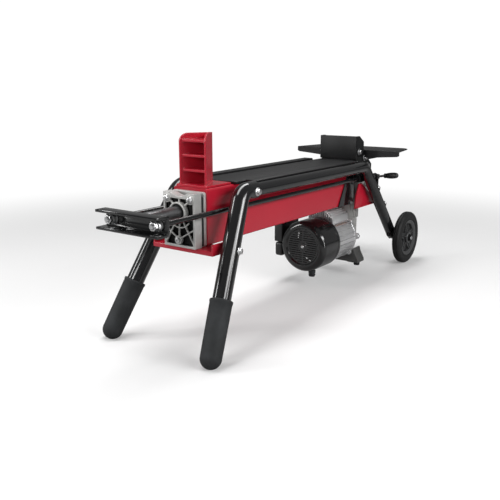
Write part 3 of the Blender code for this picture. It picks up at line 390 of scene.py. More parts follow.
def make_finishes(colours):
    """All finishes, by the names that pieces ask for."""
    worn = (0.10, 0.10, 0.10)
    enamel("red enamel", colours.red, 0.24, 0.22, shade(colours.red, 1.9))
    enamel("black enamel", colours.black, 0.15, 0.60, worn)
    powder("black powder coat", shade(colours.black, 0.7), 0.40, worn)
    casting("cast aluminium", colours.casting, 0.42, 0.55)
    # The cap's casting carries painted shade, near black, down in its pockets.
    casting("cap casting with shaded pockets", colours.casting, 0.42, 0.45,
            (ORIGIN_X + 0.0030, high("front_cap").y - 0.0016, low("front_cap").z + 0.0016,
             high("front_cap").z - 0.0080))
    casting("motor casting", colours.shell, 0.34, 0.80)
    casting("grey casting", shade(colours.casting, 0.14), 0.50, 0.30)
    metal("ground steel", colours.steel, 0.12, (1.0, 0.08, 0.08), 0.15)
    metal("dark steel", shade(colours.steel, 0.30), 0.26, (1.0, 0.1, 0.1), 0.3)
    metal("zinc plate", colours.zinc, 0.22, (1.0, 1.0, 1.0), 0.25)
    rubber("grip rubber", colours.rubber, 0.62, 700.0)
    rubber("tyre rubber", colours.tyre, 0.52, 1100.0)
    rubber("gasket rubber", shade(colours.tyre, 0.9), 0.60, 900.0)
    moulding("gloss plastic", colours.plastic, 0.12, 0.55)
    moulding("satin plastic", shade(colours.plastic, 1.8), 0.34, 0.10)
    moulding("hub plastic", colours.hub, 0.36, 0.10)
    moulding("green plastic", (0.012, 0.30, 0.055), 0.30, 0.30)
    windings("copper windings")


def finish_named(name):
    return bpy.data.materials[name]


# ------------------------------------------------------------------------------ mesh building
def lathe(profile, base, direction, steps=64):
    """Turn (radius, height) pairs about an axis; one that starts off the axis is a closed loop."""
    place = Matrix.Translation(base) @ Vector(direction).to_track_quat("Z", "Y").to_matrix().to_4x4()
    form, rings = bmesh.new(), []
    for radius, height in profile:
        angles = [0.0] if radius < 1e-7 else [2 * math.pi * k / steps for k in range(steps)]
        rings.append([form.verts.new(place @ Vector((radius * math.cos(a), radius * math.sin(a), height)))
                      for a in angles])
    pairs = list(zip(rings, rings[1:])) + ([(rings[-1], rings[0])] if profile[0][0] > 1e-7 else [])
    bridge(form, pairs, steps)
    return form


def bridge(form, pairs, steps):
    """Faces between rings of vertices; a ring of one vertex is a point."""
    for a, b in pairs:
        for k in range(steps):
            n = (k + 1) % steps
            corners = [a[k % len(a)], a[n % len(a)], b[n % len(b)], b[k % len(b)]]
            form.faces.new(list(dict.fromkeys(corners)))
    bmesh.ops.recalc_face_normals(form, faces=form.faces)


def sweep(points, radius, sides, chamfer=0.001, bore=None):
    """A round bar along points with chamfered ends; bore is the depth and radius of a socket at its end."""
    points = [Vector(p) for p in points]
    first = (points[1] - points[0]).normalized()
    last = (points[-1] - points[-2]).normalized()
    spine = [(points[0], 0.0), (points[0], radius - chamfer), (points[0] + first * chamfer, radius)]
    spine += [(p, radius) for p in points[1:-1]]
    spine += [(points[-1] - last * chamfer, radius), (points[-1], radius - chamfer)]
    if bore:
        depth, inner = bore
        spine += [(points[-1], inner), (points[-1] - last * depth, inner), (points[-1] - last * depth, 0.0)]
    else:
        spine.append((points[-1], 0.0))
    headings = [first, first, first]
    for before, after in zip(points, points[2:]):
        headings.append((after - before).normalized())
    headings += [last] * (len(spine) - len(headings))
    form, rings = bmesh.new(), []
    side = first.orthogonal().normalized()
    for (centre, reach), heading in zip(spine, headings):
        side = (side - heading * side.dot(heading)).normalized()
        up = heading.cross(side)
        if reach < 1e-7:
            rings.append([form.verts.new(centre)])
            continue
        rings.append([form.verts.new(centre + reach * (side * math.cos(2 * math.pi * k / sides)
                                                       + up * math.sin(2 * math.pi * k / sides)))
                      for k in range(sides)])
    bridge(form, list(zip(rings, rings[1:])), sides)
    return form


def bent_path(corners, radius, steps=14):
    """Straight runs between corner points, joined by arcs of one radius."""
    points = [Vector(corners[0])]
    for before, corner, after in zip(corners, corners[1:], corners[2:]):
        corner = Vector(corner)
        back = (Vector(before) - corner).normalized()
        ahead = (Vector(after) - corner).normalized()
        half = back.angle(ahead) / 2
        setback = radius / math.tan(half)
        centre = corner + (back + ahead).normalized() * radius / math.sin(half)
        start, end = corner + back * setback - centre, corner + ahead * setback - centre
        turn = start.angle(end)
        for step in range(steps + 1):
            share = step / steps
            arc = start * math.sin((1 - share) * turn) + end * math.sin(share * turn)
            points.append(centre + arc / math.sin(turn))
    points.append(Vector(corners[-1]))
    return points


def block(start, end):
    """A box between two corners given as stations."""
    start, end = at(*start), at(*end)
    form = bmesh.new()
    bmesh.ops.create_cube(form, size=1.0)
    bmesh.ops.scale(form, verts=form.verts, vec=end - start)
    bmesh.ops.translate(form, verts=form.verts, vec=(start + end) / 2)
    return form


TURNS = {
    "X": Matrix(((0, 0, 1), (1, 0, 0), (0, 1, 0))).to_4x4(),   # outline (y, z), thickness along X
    "Y": Matrix(((1, 0, 0), (0, 0, -1), (0, 1, 0))).to_4x4(),  # outline (x, z), thickness along Y
    "Z": Matrix.Identity(4),                                   # outline (x, y), thickness along Z
}


def prism(axis, outlines, start, end):
    """A flat outline, with holes as further outlines, from start to end along an axis; x as stations."""
    curve = bpy.data.curves.new("outline", "CURVE")
    curve.dimensions, curve.fill_mode, curve.extrude = "2D", "BOTH", abs(end - start) / 2
    for outline in outlines:
        spline = curve.splines.new("POLY")
        spline.points.add(len(outline) - 1)
        for point, (u, v) in zip(spline.points, outline):
            point.co = (u, v, 0.0, 1.0)
        spline.use_cyclic_u = True
    guide = bpy.data.objects.new("outline", curve)
    bpy.context.scene.collection.objects.link(guide)
    bpy.context.view_layer.update()
    mesh = bpy.data.meshes.new_from_object(guide.evaluated_get(bpy.context.evaluated_depsgraph_get()))
    form = bmesh.new()
    form.from_mesh(mesh)
    bpy.data.meshes.remove(mesh)
    bpy.data.objects.remove(guide, do_unlink=True)
    bpy.data.curves.remove(curve)
    bmesh.ops.remove_doubles(form, verts=form.verts, dist=1e-6)
    centre = (start + end) / 2
    offset = {"X": (centre + ORIGIN_X, 0, 0), "Y": (ORIGIN_X, centre, 0), "Z": (ORIGIN_X, 0, centre)}[axis]
    bmesh.ops.transform(form, matrix=Matrix.Translation(offset) @ TURNS[axis], verts=form.verts)
    bmesh.ops.recalc_face_normals(form, faces=form.faces)
    return form


def circle(u, v, radius, sides=48, start=0.0):
    return [(u + radius * math.cos(start + 2 * math.pi * k / sides),
             v + radius * math.sin(start + 2 * math.pi * k / sides)) for k in range(sides)]


def rounded(u0, v0, u1, v1, radius, steps=6):
    """A rectangle with rounded corners."""
    points = []
    for cu, cv, begin in ((u1 - radius, v0 + radius, -90), (u1 - radius, v1 - radius, 0),
                          (u0 + radius, v1 - radius, 90), (u0 + radius, v0 + radius, 180)):
        for step in range(steps + 1):
            angle = math.radians(begin + 90 * step / steps)
            points.append((cu + radius * math.cos(angle), cv + radius * math.sin(angle)))
    return points


def merged(*forms):
    """Several closed forms as one bmesh, each still a body of its own."""
    whole = forms[0]
    for form in forms[1:]:
        mesh = bpy.data.meshes.new("part")
        form.to_mesh(mesh)
        form.free()
        whole.from_mesh(mesh)
        bpy.data.meshes.remove(mesh)
    return whole


def as_object(form, name="working"):
    mesh = bpy.data.meshes.new(name)
    form.to_mesh(mesh)
    form.free()
    thing = bpy.data.objects.new(name, mesh)
    bpy.context.scene.collection.objects.link(thing)
    return thing


def settled(thing):
    """The shape that an object's modifiers give it, as a bmesh; the object is removed."""
    evaluated = thing.evaluated_get(bpy.context.evaluated_depsgraph_get())
    mesh = bpy.data.meshes.new_from_object(evaluated)
    form = bmesh.new()
    form.from_mesh(mesh)
    for old in (mesh, thing.data):
        bpy.data.meshes.remove(old)
    return form


def combine(form, others, operation):
    """Cut forms out of a form, or join them to it, one after the other."""
    base, tools = as_object(form), [as_object(other) for other in others]
    for tool in tools:
        step = base.modifiers.new(operation, "BOOLEAN")
        step.operation, step.solver, step.object = operation, "EXACT", tool
    result = settled(base)
    for tool in tools:
        bpy.data.meshes.remove(tool.data)
    return result


def cut(form, *others):
    return combine(form, others, "DIFFERENCE")


def join(form, *others):
    return combine(form, others, "UNION")


def eased(form, width, segments=2, limit=32.0):
    """Round a form's edges."""
    thing = as_object(form)
    bevel = thing.modifiers.new("edges", "BEVEL")
    bevel.width, bevel.segments = width, segments
    bevel.limit_method, bevel.angle_limit = "ANGLE", math.radians(limit)
    bevel.use_clamp_overlap = True
    return settled(thing)


def cast(form, grain, rounds):
    """Melt a form's edges and corners together, as a casting's are."""
    thing = as_object(form)
    remesh = thing.modifiers.new("skin", "REMESH")
    remesh.mode, remesh.voxel_size, remesh.adaptivity = "VOXEL", grain, 0.0
    soften = thing.modifiers.new("fillets", "SMOOTH")
    soften.factor, soften.iterations = 0.5, rounds
    return settled(thing)


def piece(name, form, finish, body, replaces=(), sharp=38.0):
    """Make an object of a form, that rides on a body and may stand for CAD nodes."""
    mesh = bpy.data.meshes.new(name)
    form.to_mesh(mesh)
    form.free()
    mesh.materials.append(finish_named(finish))
    mesh.shade_smooth()
    mesh.set_sharp_from_angle(angle=math.radians(sharp))
    thing = bpy.data.objects.new(name, mesh)
    bpy.context.scene.collection.objects.link(thing)
    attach(thing, body)
    if replaces:
        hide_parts(*replaces)
    return thing


def bolt(across, height, flange=0.0, socket=0.0, stud=0.0, washer=0.0):
    """A hexagon head on its seat at the origin, facing +Z, with what it may have under, in or on it."""
    radius = across / math.sqrt(3)
    shape = lathe([(0.0, height), (radius * 0.80, height), (radius * 1.02, height - radius * 0.13),
                   (radius * 1.02, 0.0), (0.0, 0.0)], (0, 0, 0), (0, 0, 1), 48)
    hexagon = bmesh.new()
    bmesh.ops.create_cone(hexagon, cap_ends=True, segments=6, radius1=radius, radius2=radius,
                          depth=height * 3)
    form = eased(combine(shape, [hexagon], "INTERSECT"), across * 0.018, 1, 25.0)
    if socket:
        hollow = bmesh.new()
        bmesh.ops.create_cone(hollow, cap_ends=True, segments=6, radius1=socket, radius2=socket,
                              depth=height, matrix=Matrix.Translation((0, 0, height)))
        form = cut(form, hollow)
    parts = [form]
    if flange:
        parts.append(lathe([(0.0, 0.0018), (radius * 1.05, 0.0018), (flange - 0.0004, 0.0009),
                            (flange, 0.0005), (flange, 0.0), (0.0, 0.0)], (0, 0, 0.0), (0, 0, 1), 40))
    if washer:
        parts.append(lathe([(0.0, 0.0), (washer - 0.0003, 0.0), (washer, -0.0003), (washer, -0.0012),
                            (washer - 0.0003, -0.0015), (0.0, -0.0015)], (0, 0, 0), (0, 0, 1), 40))
    if stud:
        parts.append(threaded(stud, height - 0.001, height + stud * 0.75))
    return merged(*parts)


def threaded(radius, start, end, pitch=0.0011):
    """A threaded end of a rod along +Z."""
    profile = [(0.0, end), (radius * 0.80, end), (radius, end - radius * 0.20)]
    z = end - radius * 0.20
    while z - pitch > start:
        profile += [(radius * 0.90, z - pitch * 0.5), (radius, z - pitch)]
        z -= pitch
    return lathe(profile + [(radius * 0.9, start), (0.0, start)], (0, 0, 0), (0, 0, 1), 28)


def placed(template, places):
    """Copies of one form, each at a point and facing a direction, with a turn about it in degrees."""
    mesh = bpy.data.meshes.new("template")
    template.to_mesh(mesh)
    template.free()
    whole = bmesh.new()
    for point, facing, turn in places:
        copy = bmesh.new()
        copy.from_mesh(mesh)
        matrix = (Matrix.Translation(point) @ Vector(facing).to_track_quat("Z", "Y").to_matrix().to_4x4()
                  @ Matrix.Rotation(math.radians(turn), 4, "Z"))
        bmesh.ops.transform(copy, matrix=matrix, verts=copy.verts)
        whole = merged(whole, copy)
    bpy.data.meshes.remove(mesh)
    return whole


# ------------------------------------------------------------------------------ beam, cap and wedge
ROD_Z = middle("piston_rod").z
ROD_RADIUS = (high("piston_rod").z - low("piston_rod").z) / 2
CAP_Z0, CAP_Z1 = low("front_cap").z, high("front_cap").z
CAP_HALF = high("front_cap").y
BOLT_Y, BOLT_Z = CAP_HALF - 0.0095, CAP_Z1 - 0.0115
DRAIN_Y, DRAIN_Z = 0.002, CAP_Z0 + 0.0135
BACK = (-1, 0, 0)


def make_beam():
    start, end = low("tank_beam"), high("tank_beam")
    outer = rounded(start.y, start.z, end.y, end.z, 0.0045, 8)
    inner = rounded(start.y + 0.003, start.z + 0.003, end.y - 0.003, end.z - 0.003, 0.002, 4)
    form = prism("X", [outer, inner], station(start.x), station(end.x))
    piece("beam_shell", form, "red enamel", "frame", ["tank_beam"], sharp=50)
    hole = circle(0, ROD_Z, high("cylinder_tube").z - ROD_Z + 0.0004, 64)
    plate = rounded(start.y + 0.0033, start.z + 0.0033, end.y - 0.0033, end.z - 0.0033, 0.002, 4)
    for name, face in (("beam_plate_front", station(start.x) + 0.0006),
                       ("beam_plate_rear", station(end.x) - 0.0036)):
        piece(name, eased(prism("X", [plate, hole], face, face + 0.003), 0.0003, 1), "red enamel", "frame")
    for node in ("front_flange", "rear_gasket"):
        start, end = low(node), high(node)
        form = prism("X", [rounded(start.y, start.z, end.y, end.z, 0.0045, 8), circle(0, ROD_Z, 0.0165)],
                     station(start.x), station(end.x))
        steel = node == "front_flange"
        piece(node + "_plate", eased(form, 0.0007), "cast aluminium" if steel else "gasket rubber", "frame",
              [node])
    for side in ("left", "right"):
        node = "side_guard_" + side
        start, end = low(node), high(node)
        x0, x1 = station(start.x), station(end.x)
        slant = [(x0, start.z), (x1, start.z), (x1, end.z), (x1 - 0.0211, end.z)]
        form = eased(prism("Y", [slant], start.y, end.y), 0.0008)
        piece(node + "_plate", form, "black enamel", "frame", [node])


def cap_outline():
    """The cap from the front: square, with a shallow scallop along its top."""
    dip, steps, shoulder = 0.0065, 20, CAP_HALF - 0.017
    points = [(-CAP_HALF, CAP_Z0), (CAP_HALF, CAP_Z0), (CAP_HALF, CAP_Z1), (shoulder, CAP_Z1)]
    for step in range(1, steps):
        share = step / steps
        points.append((shoulder * (1 - 2 * share), CAP_Z1 - dip * math.sin(math.pi * share) ** 0.8))
    return points + [(-shoulder, CAP_Z1), (-CAP_HALF, CAP_Z1)]


def rib(start, end, width):
    """A straight rib of the cap between two (y, z) points."""
    start, end = Vector(start), Vector(end)
    side = (end - start).orthogonal().normalized() * width / 2
    return prism("X", [[tuple(start + side), tuple(start - side), tuple(end - side), tuple(end + side)]],
                 0.0006, 0.0125)


def boss(y, z, front, back, radius):
    return lathe([(0.0, 0.0), (radius, 0.0), (radius, back - front), (0.0, back - front)],
                 at(back, y, z), BACK, 48)


def collar(y, z, front, back, radius, bore):
    return lathe([(bore, 0.0), (radius, 0.0), (radius, back - front), (bore, back - front)],
                 at(back, y, z), BACK, 64)


def make_cap(sizes):
    rim, depth, seat = sizes.rim, sizes.pocket, 0.0166
    window = rounded(-CAP_HALF + rim, CAP_Z0 + rim, CAP_HALF - rim, CAP_Z1 - 0.0110, 0.004)
    solids = [prism("X", [cap_outline(), window], 0.0, CAP_THICK),
              prism("X", [cap_outline(), circle(0, ROD_Z, seat, 64)], depth, 0.0122),
              prism("X", [cap_outline(), circle(0, ROD_Z, ROD_RADIUS + 0.0006, 64)], 0.0118, CAP_THICK),
              rib((0.0, ROD_Z + seat), (0.0, CAP_Z1 - 0.009), sizes.rib * 1.3),
              rib((DRAIN_Y, DRAIN_Z), (0.0, ROD_Z - seat), sizes.rib * 1.1),
              collar(0.0, ROD_Z, -0.006, 0.0122, 0.0196, seat),
              collar(DRAIN_Y, DRAIN_Z, -0.002, depth + 0.003, 0.0081, 0.0034)]
    for side in (1, -1):
        corner = (side * (CAP_HALF - 0.002), CAP_Z0 + 0.004)
        wall = (side * (CAP_HALF - 0.002), ROD_Z - 0.029)
        solids += [rib(corner, (side * 0.0085, ROD_Z - 0.0165), sizes.rib),
                   rib(wall, (DRAIN_Y + side * 0.005, DRAIN_Z + 0.004), sizes.rib),
                   rib((side * BOLT_Y, BOLT_Z), (side * 0.0120, ROD_Z + 0.0125), sizes.rib * 1.4),
                   collar(side * BOLT_Y, BOLT_Z, -0.0015, depth + 0.003, 0.0084, 0.0042)]
    inner, outer = 0.0275, 0.0275 + sizes.rib
    arc = [math.radians(a) for a in range(-140, -39, 4)]
    web = ([(outer * math.cos(a), ROD_Z + outer * math.sin(a)) for a in arc]
           + [(inner * math.cos(a), ROD_Z + inner * math.sin(a)) for a in reversed(arc)])
    solids.append(prism("X", [web], 0.0006, 0.0125))
    form = cast(merged(*solids), sizes.grain, 2)
    piece("cap_casting", form, "cap casting with shaded pockets", "frame", ["front_cap"], sharp=80)
    wiper = [(0.0162, 0.0150), (0.0155, 0.0162), (0.0148, 0.0162), (0.0142, 0.0172), (0.0136, 0.0166),
             (ROD_RADIUS + 0.0004, 0.0182), (ROD_RADIUS + 0.0003, 0.0), (0.0162, 0.0)]
    piece("rod_wiper", lathe(wiper, at(0.0118, 0, ROD_Z), BACK, 64), "gasket rubber", "frame",
          ["rod_gland"])


def make_wedge():
    start, end = low("wedge"), high("wedge")
    x0, x1 = station(start.x) + 0.005, station(end.x) - 0.010
    half, wall, foot, top = 0.033, 0.0045, start.z, end.z
    slope = (x1 - x0) / half
    vee = [(x0, -half), (x1 - 0.0012, -0.0006), (x1 - 0.0012, 0.0006), (x0, half), (x0, half - wall),
           (x1 - slope * wall, 0), (x0, -half + wall)]
    form = prism("Z", [vee], foot, top)
    corner_radius, ribs, inset = 0.016, 3, 0.003
    level = (top - foot - corner_radius) / ribs
    run = half - wall / 2 - inset / slope
    shelf = [(x0 + inset, -run), (x1 - slope * wall / 2, 0), (x0 + inset, run)]
    shelves = [prism("Z", [shelf], foot + level * k, foot + level * k + wall) for k in range(ribs + 1)]
    base = block((x0 - 0.005, -half - 0.003, foot), (x1 + 0.010, half + 0.003, foot + 0.004))
    corner = [(x0 - 0.02, top - corner_radius)]
    for step in range(17):
        angle = math.radians(180 - 90 * step / 16)
        corner.append((x0 + corner_radius + corner_radius * math.cos(angle),
                       top - corner_radius + corner_radius * math.sin(angle)))
    corner += [(x0 + corner_radius, top + 0.02), (x0 - 0.02, top + 0.02)]
    form = cut(join(form, base, *shelves), prism("Y", [corner], -half - 0.02, half + 0.02))
    form = cast(form, 0.0007, 2)
    piece("splitting_wedge", form, "red enamel", "frame", ["wedge"], sharp=75)


def make_bed():
    start, end = low("bed_plate"), high("bed_plate")
    form = block((station(start.x), start.y, start.z), (station(end.x), end.y, end.z))
    piece("bed", eased(form, 0.0014, 3), "black powder coat", "frame", ["bed_plate"])
    for side in ("left", "right"):
        node = "cradle_" + side
        start, end = low(node), high(node)
        out = 1 if start.y > 0 else -1
        inner, outer = (start.y, end.y) if out > 0 else (end.y, start.y)
        wall = 0.003
        ledge = [(inner, end.z), (inner, start.z), (inner + out * wall, start.z),
                 (inner + out * wall, end.z - wall), (outer, end.z - wall), (outer, end.z)]
        form = eased(prism("X", [ledge], station(start.x), station(end.x)), 0.0009)
        piece(node + "_ledge", form, "black powder coat", "frame", [node])


# ------------------------------------------------------------------------------ the moving ram
TIE_Y = middle("tie_rod_left").y
NUT_FRONT = station(low("tie_nut_left").x)


def make_crossbar():
    start, end = low("crossbar"), high("crossbar")
    x0, x1 = station(start.x), station(end.x)
    z0, z1, wall, bend = start.z, end.z, 0.0045, 0.0062
    outline = [(x0, z0)]
    for cz, begin in ((z0 + bend, -90), (z1 - bend, 0)):
        for step in range(7):
            angle = math.radians(begin + 15 * step)
            outline.append((x1 - bend + bend * math.cos(angle), cz + bend * math.sin(angle)))
    outline += [(x0, z1), (x0, z1 - wall)]
    for cz, begin in ((z1 - bend, 90), (z0 + bend, 0)):
        for step in range(7):
            angle = math.radians(begin - 15 * step)
            reach = bend - wall
            outline.append((x1 - bend + reach * math.cos(angle), cz + reach * math.sin(angle)))
    outline.append((x0, z0 + wall))
    form = prism("Y", [outline], start.y, end.y)
    holes = [boss(side * TIE_Y, ROD_Z, x0 - 0.02, x1 + 0.02, 0.0053) for side in (1, -1)]
    form = eased(cut(form, *holes), 0.0008)
    piece("crossbar_channel", form, "black enamel", "ram", ["crossbar"])


def make_rods(sizes):
    start, end = station(low("piston_rod").x), station(high("piston_rod").x)
    shaft = lathe([(0.0, 0.0), (ROD_RADIUS - 0.001, 0.0), (ROD_RADIUS, 0.001),
                   (ROD_RADIUS, end - start - 0.001),
                   (ROD_RADIUS - 0.001, end - start), (0.0, end - start)], at(start, 0, ROD_Z), (1, 0, 0),
                   96)
    piece("ram_shaft", shaft, "dark steel", "ram", ["piston_rod"])
    for side, sign in (("left", 1), ("right", -1)):
        node = "tie_rod_" + side
        x0, x1 = station(low(node).x), station(high(node).x)
        reach = x1 - x0
        bar = lathe([(0.0, 0.0), (0.0042, 0.0), (0.0050, 0.0008), (0.0050, reach - 0.0008), (0.0042, reach),
                     (0.0, reach)], at(x0, sign * TIE_Y, ROD_Z), (1, 0, 0), 40)
        piece(node + "_bar", bar, "black enamel", "ram", [node])
        front = bolt(sizes.nut * 0.94, 0.0060, washer=0.0088, stud=0.0046)
        back = bolt(sizes.nut, 0.0076, flange=0.0102)
        nuts = merged(placed(front, [(at(NUT_FRONT - 0.0012, sign * TIE_Y, ROD_Z), BACK, 20)]),
                      placed(back, [(at(NUT_FRONT + 0.0079, sign * TIE_Y, ROD_Z), BACK, 0)]))
        piece(f"tie_nuts_{side}", nuts, "zinc plate", "ram", ["tie_nut_" + side])


def make_pusher(sizes):
    start, end = low("pusher"), high("pusher")
    tray_start, tray_end = low("rear_tray"), high("rear_tray")
    x0, x2 = station(start.x), station(end.x)
    back, tail, shoulder = x0 + 0.008, station(tray_start.x) - 0.0003, tray_start.z - 0.0003
    outer, inner, lug = 0.0505, 0.0465, end.y
    z0 = low("bed_plate").z + 0.006
    top = end.z
    form = eased(block((x0, -outer, z0), (back, outer, top)), 0.0009)
    side_shape = [(back - 0.001, start.z), (x2, start.z), (x2, 0.2816), (tail + 0.024, shoulder),
                  (tail, shoulder),
                  (tail, top - 0.015), (tail - 0.024, top), (back - 0.001, top)]
    others = []
    for sign in (1, -1):
        near, far = sorted((sign * inner, sign * outer))
        others.append(eased(prism("Y", [side_shape], near, far), 0.0007))
        near, far = sorted((sign * (inner + 0.001), sign * lug))
        others.append(eased(block((back, near, start.z + 0.0005), (back + 0.032, far, 0.2616)), 0.0009))
    rib_z = z0 + (top - z0) * 0.45
    others.append(block((back - 0.001, -inner - 0.001, rib_z), (tail, inner + 0.001, rib_z + 0.004)))
    form = join(form, *others)
    form = cut(form, *[boss(sign * TIE_Y, ROD_Z, x0 - 0.02, x2, 0.0053) for sign in (1, -1)])
    piece("pusher_block", form, "black powder coat", "ram", ["pusher"], sharp=30)

    half, thick, t0, t1 = tray_end.y, 0.003, station(tray_start.x), station(tray_end.x)
    z1, apron_z = tray_end.z, tray_start.z
    outline = [(t0, -half), (t1 - 0.012, -half + 0.016), (t1, -half + 0.030), (t1, half - 0.030),
               (t1 - 0.012, half - 0.016), (t0, half)]
    tray = eased(prism("Z", [outline], z1 - thick, z1), 0.0008)
    apron = [(-half, z1 - thick / 2), (-half, z1 - 0.011), (-half + 0.004, z1 - 0.0135),
             (-outer - 0.014, apron_z), (outer + 0.014, apron_z), (half - 0.004, z1 - 0.0135),
             (half, z1 - 0.011), (half, z1 - thick / 2)]
    tray = join(tray, prism("X", [apron], t0, t0 + thick))
    piece("log_tray", tray, "black powder coat", "ram", ["rear_tray"], sharp=30)

    template = bolt(sizes.flange_bolt, 0.0055, washer=0.0082)
    spots = []
    for sign in (1, -1):
        for x, z, turn in ((0.6148, 0.3168, 10), (0.6470, 0.3010, 40), (0.6620, 0.2800, 25)):
            spots.append((at(x, sign * (outer + 0.0016), z), (0, sign, 0), turn))
    piece("pusher_bolts", placed(template, spots), "zinc plate", "ram")


# ------------------------------------------------------------------------------ rails, legs and wheels
RAIL_Y, RAIL_Z = 0.0765, 0.2833
REAR_KNEE_X, REAR_LEAN = 0.596, 0.92
# Unit vector down a rear leg
REAR_DOWN = Vector((REAR_LEAN, 0, -1)).normalized()
LEG_KNEE_X, FOOT_X, FOOT_Y = 0.088, -0.0728, 0.1254
AXLE = (middle("axle_left").x, middle("axle_left").z)


def make_rails(sizes):
    axle_x, axle_z = station(AXLE[0]), AXLE[1]
    drop = RAIL_Z - axle_z - 0.012
    heel_x = REAR_KNEE_X + REAR_LEAN * drop
    for side, sign in (("left", 1), ("right", -1)):
        y = sign * RAIL_Y
        start = LEG_KNEE_X + sizes.leg_mouth - sizes.socket + 0.0005
        path = bent_path([at(start, y, RAIL_Z), at(REAR_KNEE_X, y, RAIL_Z), at(heel_x, y, RAIL_Z - drop),
                          at(axle_x + 0.014, y, axle_z)], sizes.rail_bend)
        piece(f"rail_tube_{side}", sweep(path, sizes.rail_radius, sizes.sides), "black enamel", "frame",
              ["rail_" + side])


def leg_direction(sign):
    knee, ground = at(LEG_KNEE_X, sign * RAIL_Y, RAIL_Z), at(FOOT_X, sign * FOOT_Y, 0.0)
    return knee, ground, (ground - knee).normalized()


def make_legs(sizes):
    for side, sign in (("left", 1), ("right", -1)):
        knee, ground, down = leg_direction(sign)
        tip = ground - down * (sizes.grip_end / -down.z + 0.006)
        mouth = at(LEG_KNEE_X + sizes.leg_mouth, sign * RAIL_Y, RAIL_Z)
        path = bent_path([tip, knee, mouth], sizes.leg_bend)
        form = sweep(path, sizes.leg_radius, sizes.sides, 0.0012,
                     (sizes.socket, sizes.rail_radius + 0.0003))
        piece(f"leg_tube_{side}", form, "black enamel", "frame", ["front_leg_" + side])
        make_grip(f"grip_sleeve_{side}", "foot_grip_" + side, ground, down, tip, sizes)


def make_grip(name, node, ground, down, tip, sizes):
    """Rubber sleeve with a moulded lip at its mouth and a dome worn flat where it stands."""
    radius, flat = sizes.grip_end, 0.0022
    centre = ground - down * (flat - radius) / down.z
    centre.z = radius - flat
    up, length_up = -down, sizes.grip_length - radius
    bore, depth = sizes.leg_radius + 0.0003, (tip - centre).dot(up) - 0.0003
    wide = sizes.grip_radius
    profile = [(0.0, depth), (bore, depth), (bore, length_up - 0.0006), (bore + 0.0006, length_up),
               (wide - 0.0012, length_up), (wide - 0.0003, length_up - 0.0004), (wide, length_up - 0.0013),
               (wide, length_up - 0.0052), (wide - 0.0006, length_up - 0.0062)]
    for step in range(1, 7):
        share = step / 7
        profile.append((wide - 0.0006 + (radius - wide + 0.0006) * share,
                        (length_up - 0.0062) * (1 - share)))
    for step in range(17):
        angle = math.radians(90 * step / 16)
        profile.append((radius * math.cos(angle), -radius * math.sin(angle)))
    profile[-1] = (0.0, -radius)
    form = lathe(profile, centre, up, 72)
    sliced = bmesh.ops.bisect_plane(form, geom=form.verts[:] + form.edges[:] + form.faces[:], dist=1e-6,
                                    plane_co=(0, 0, 0.00001), plane_no=(0, 0, -1), clear_outer=True)
    edge = [e for e in sliced["geom_cut"] if isinstance(e, bmesh.types.BMEdge)]
    bmesh.ops.contextual_create(form, geom=edge)
    bmesh.ops.recalc_face_normals(form, faces=form.faces)
    piece(name, form, "grip rubber", "frame", [node])


def make_wheels(sizes):
    radius = AXLE[1]
    for side in ("left", "right"):
        start, end = low("tyre_" + side), high("tyre_" + side)
        centre, half = Vector((AXLE[0], (start.y + end.y) / 2, radius)), (end.y - start.y) / 2
        inner = radius - 0.022
        wall = [(inner, half - 0.0030), (inner + 0.0022, half - 0.0006), (inner + 0.0040, half),
                (inner + 0.0062, half - 0.0007), (inner + 0.0100, half - 0.0002),
                (radius - 0.0068, half - 0.0006),
                (radius - 0.0036, half - 0.0017), (radius - 0.0014, half - 0.0036),
                (radius - 0.0003, half - 0.0056),
                (radius, half - 0.0066), (radius - 0.0016, half - 0.0071), (radius - 0.0016, half - 0.0082),
                (radius, half - 0.0088)]
        profile = wall + [(r, -h) for r, h in reversed(wall)]
        piece(f"tyre_tread_{side}", lathe(profile, centre, (0, 1, 0), 96), "tyre rubber", "wheel_" + side,
              ["tyre_" + side], sharp=28)
        make_hub(side, centre, half, inner - 0.0004, sizes)


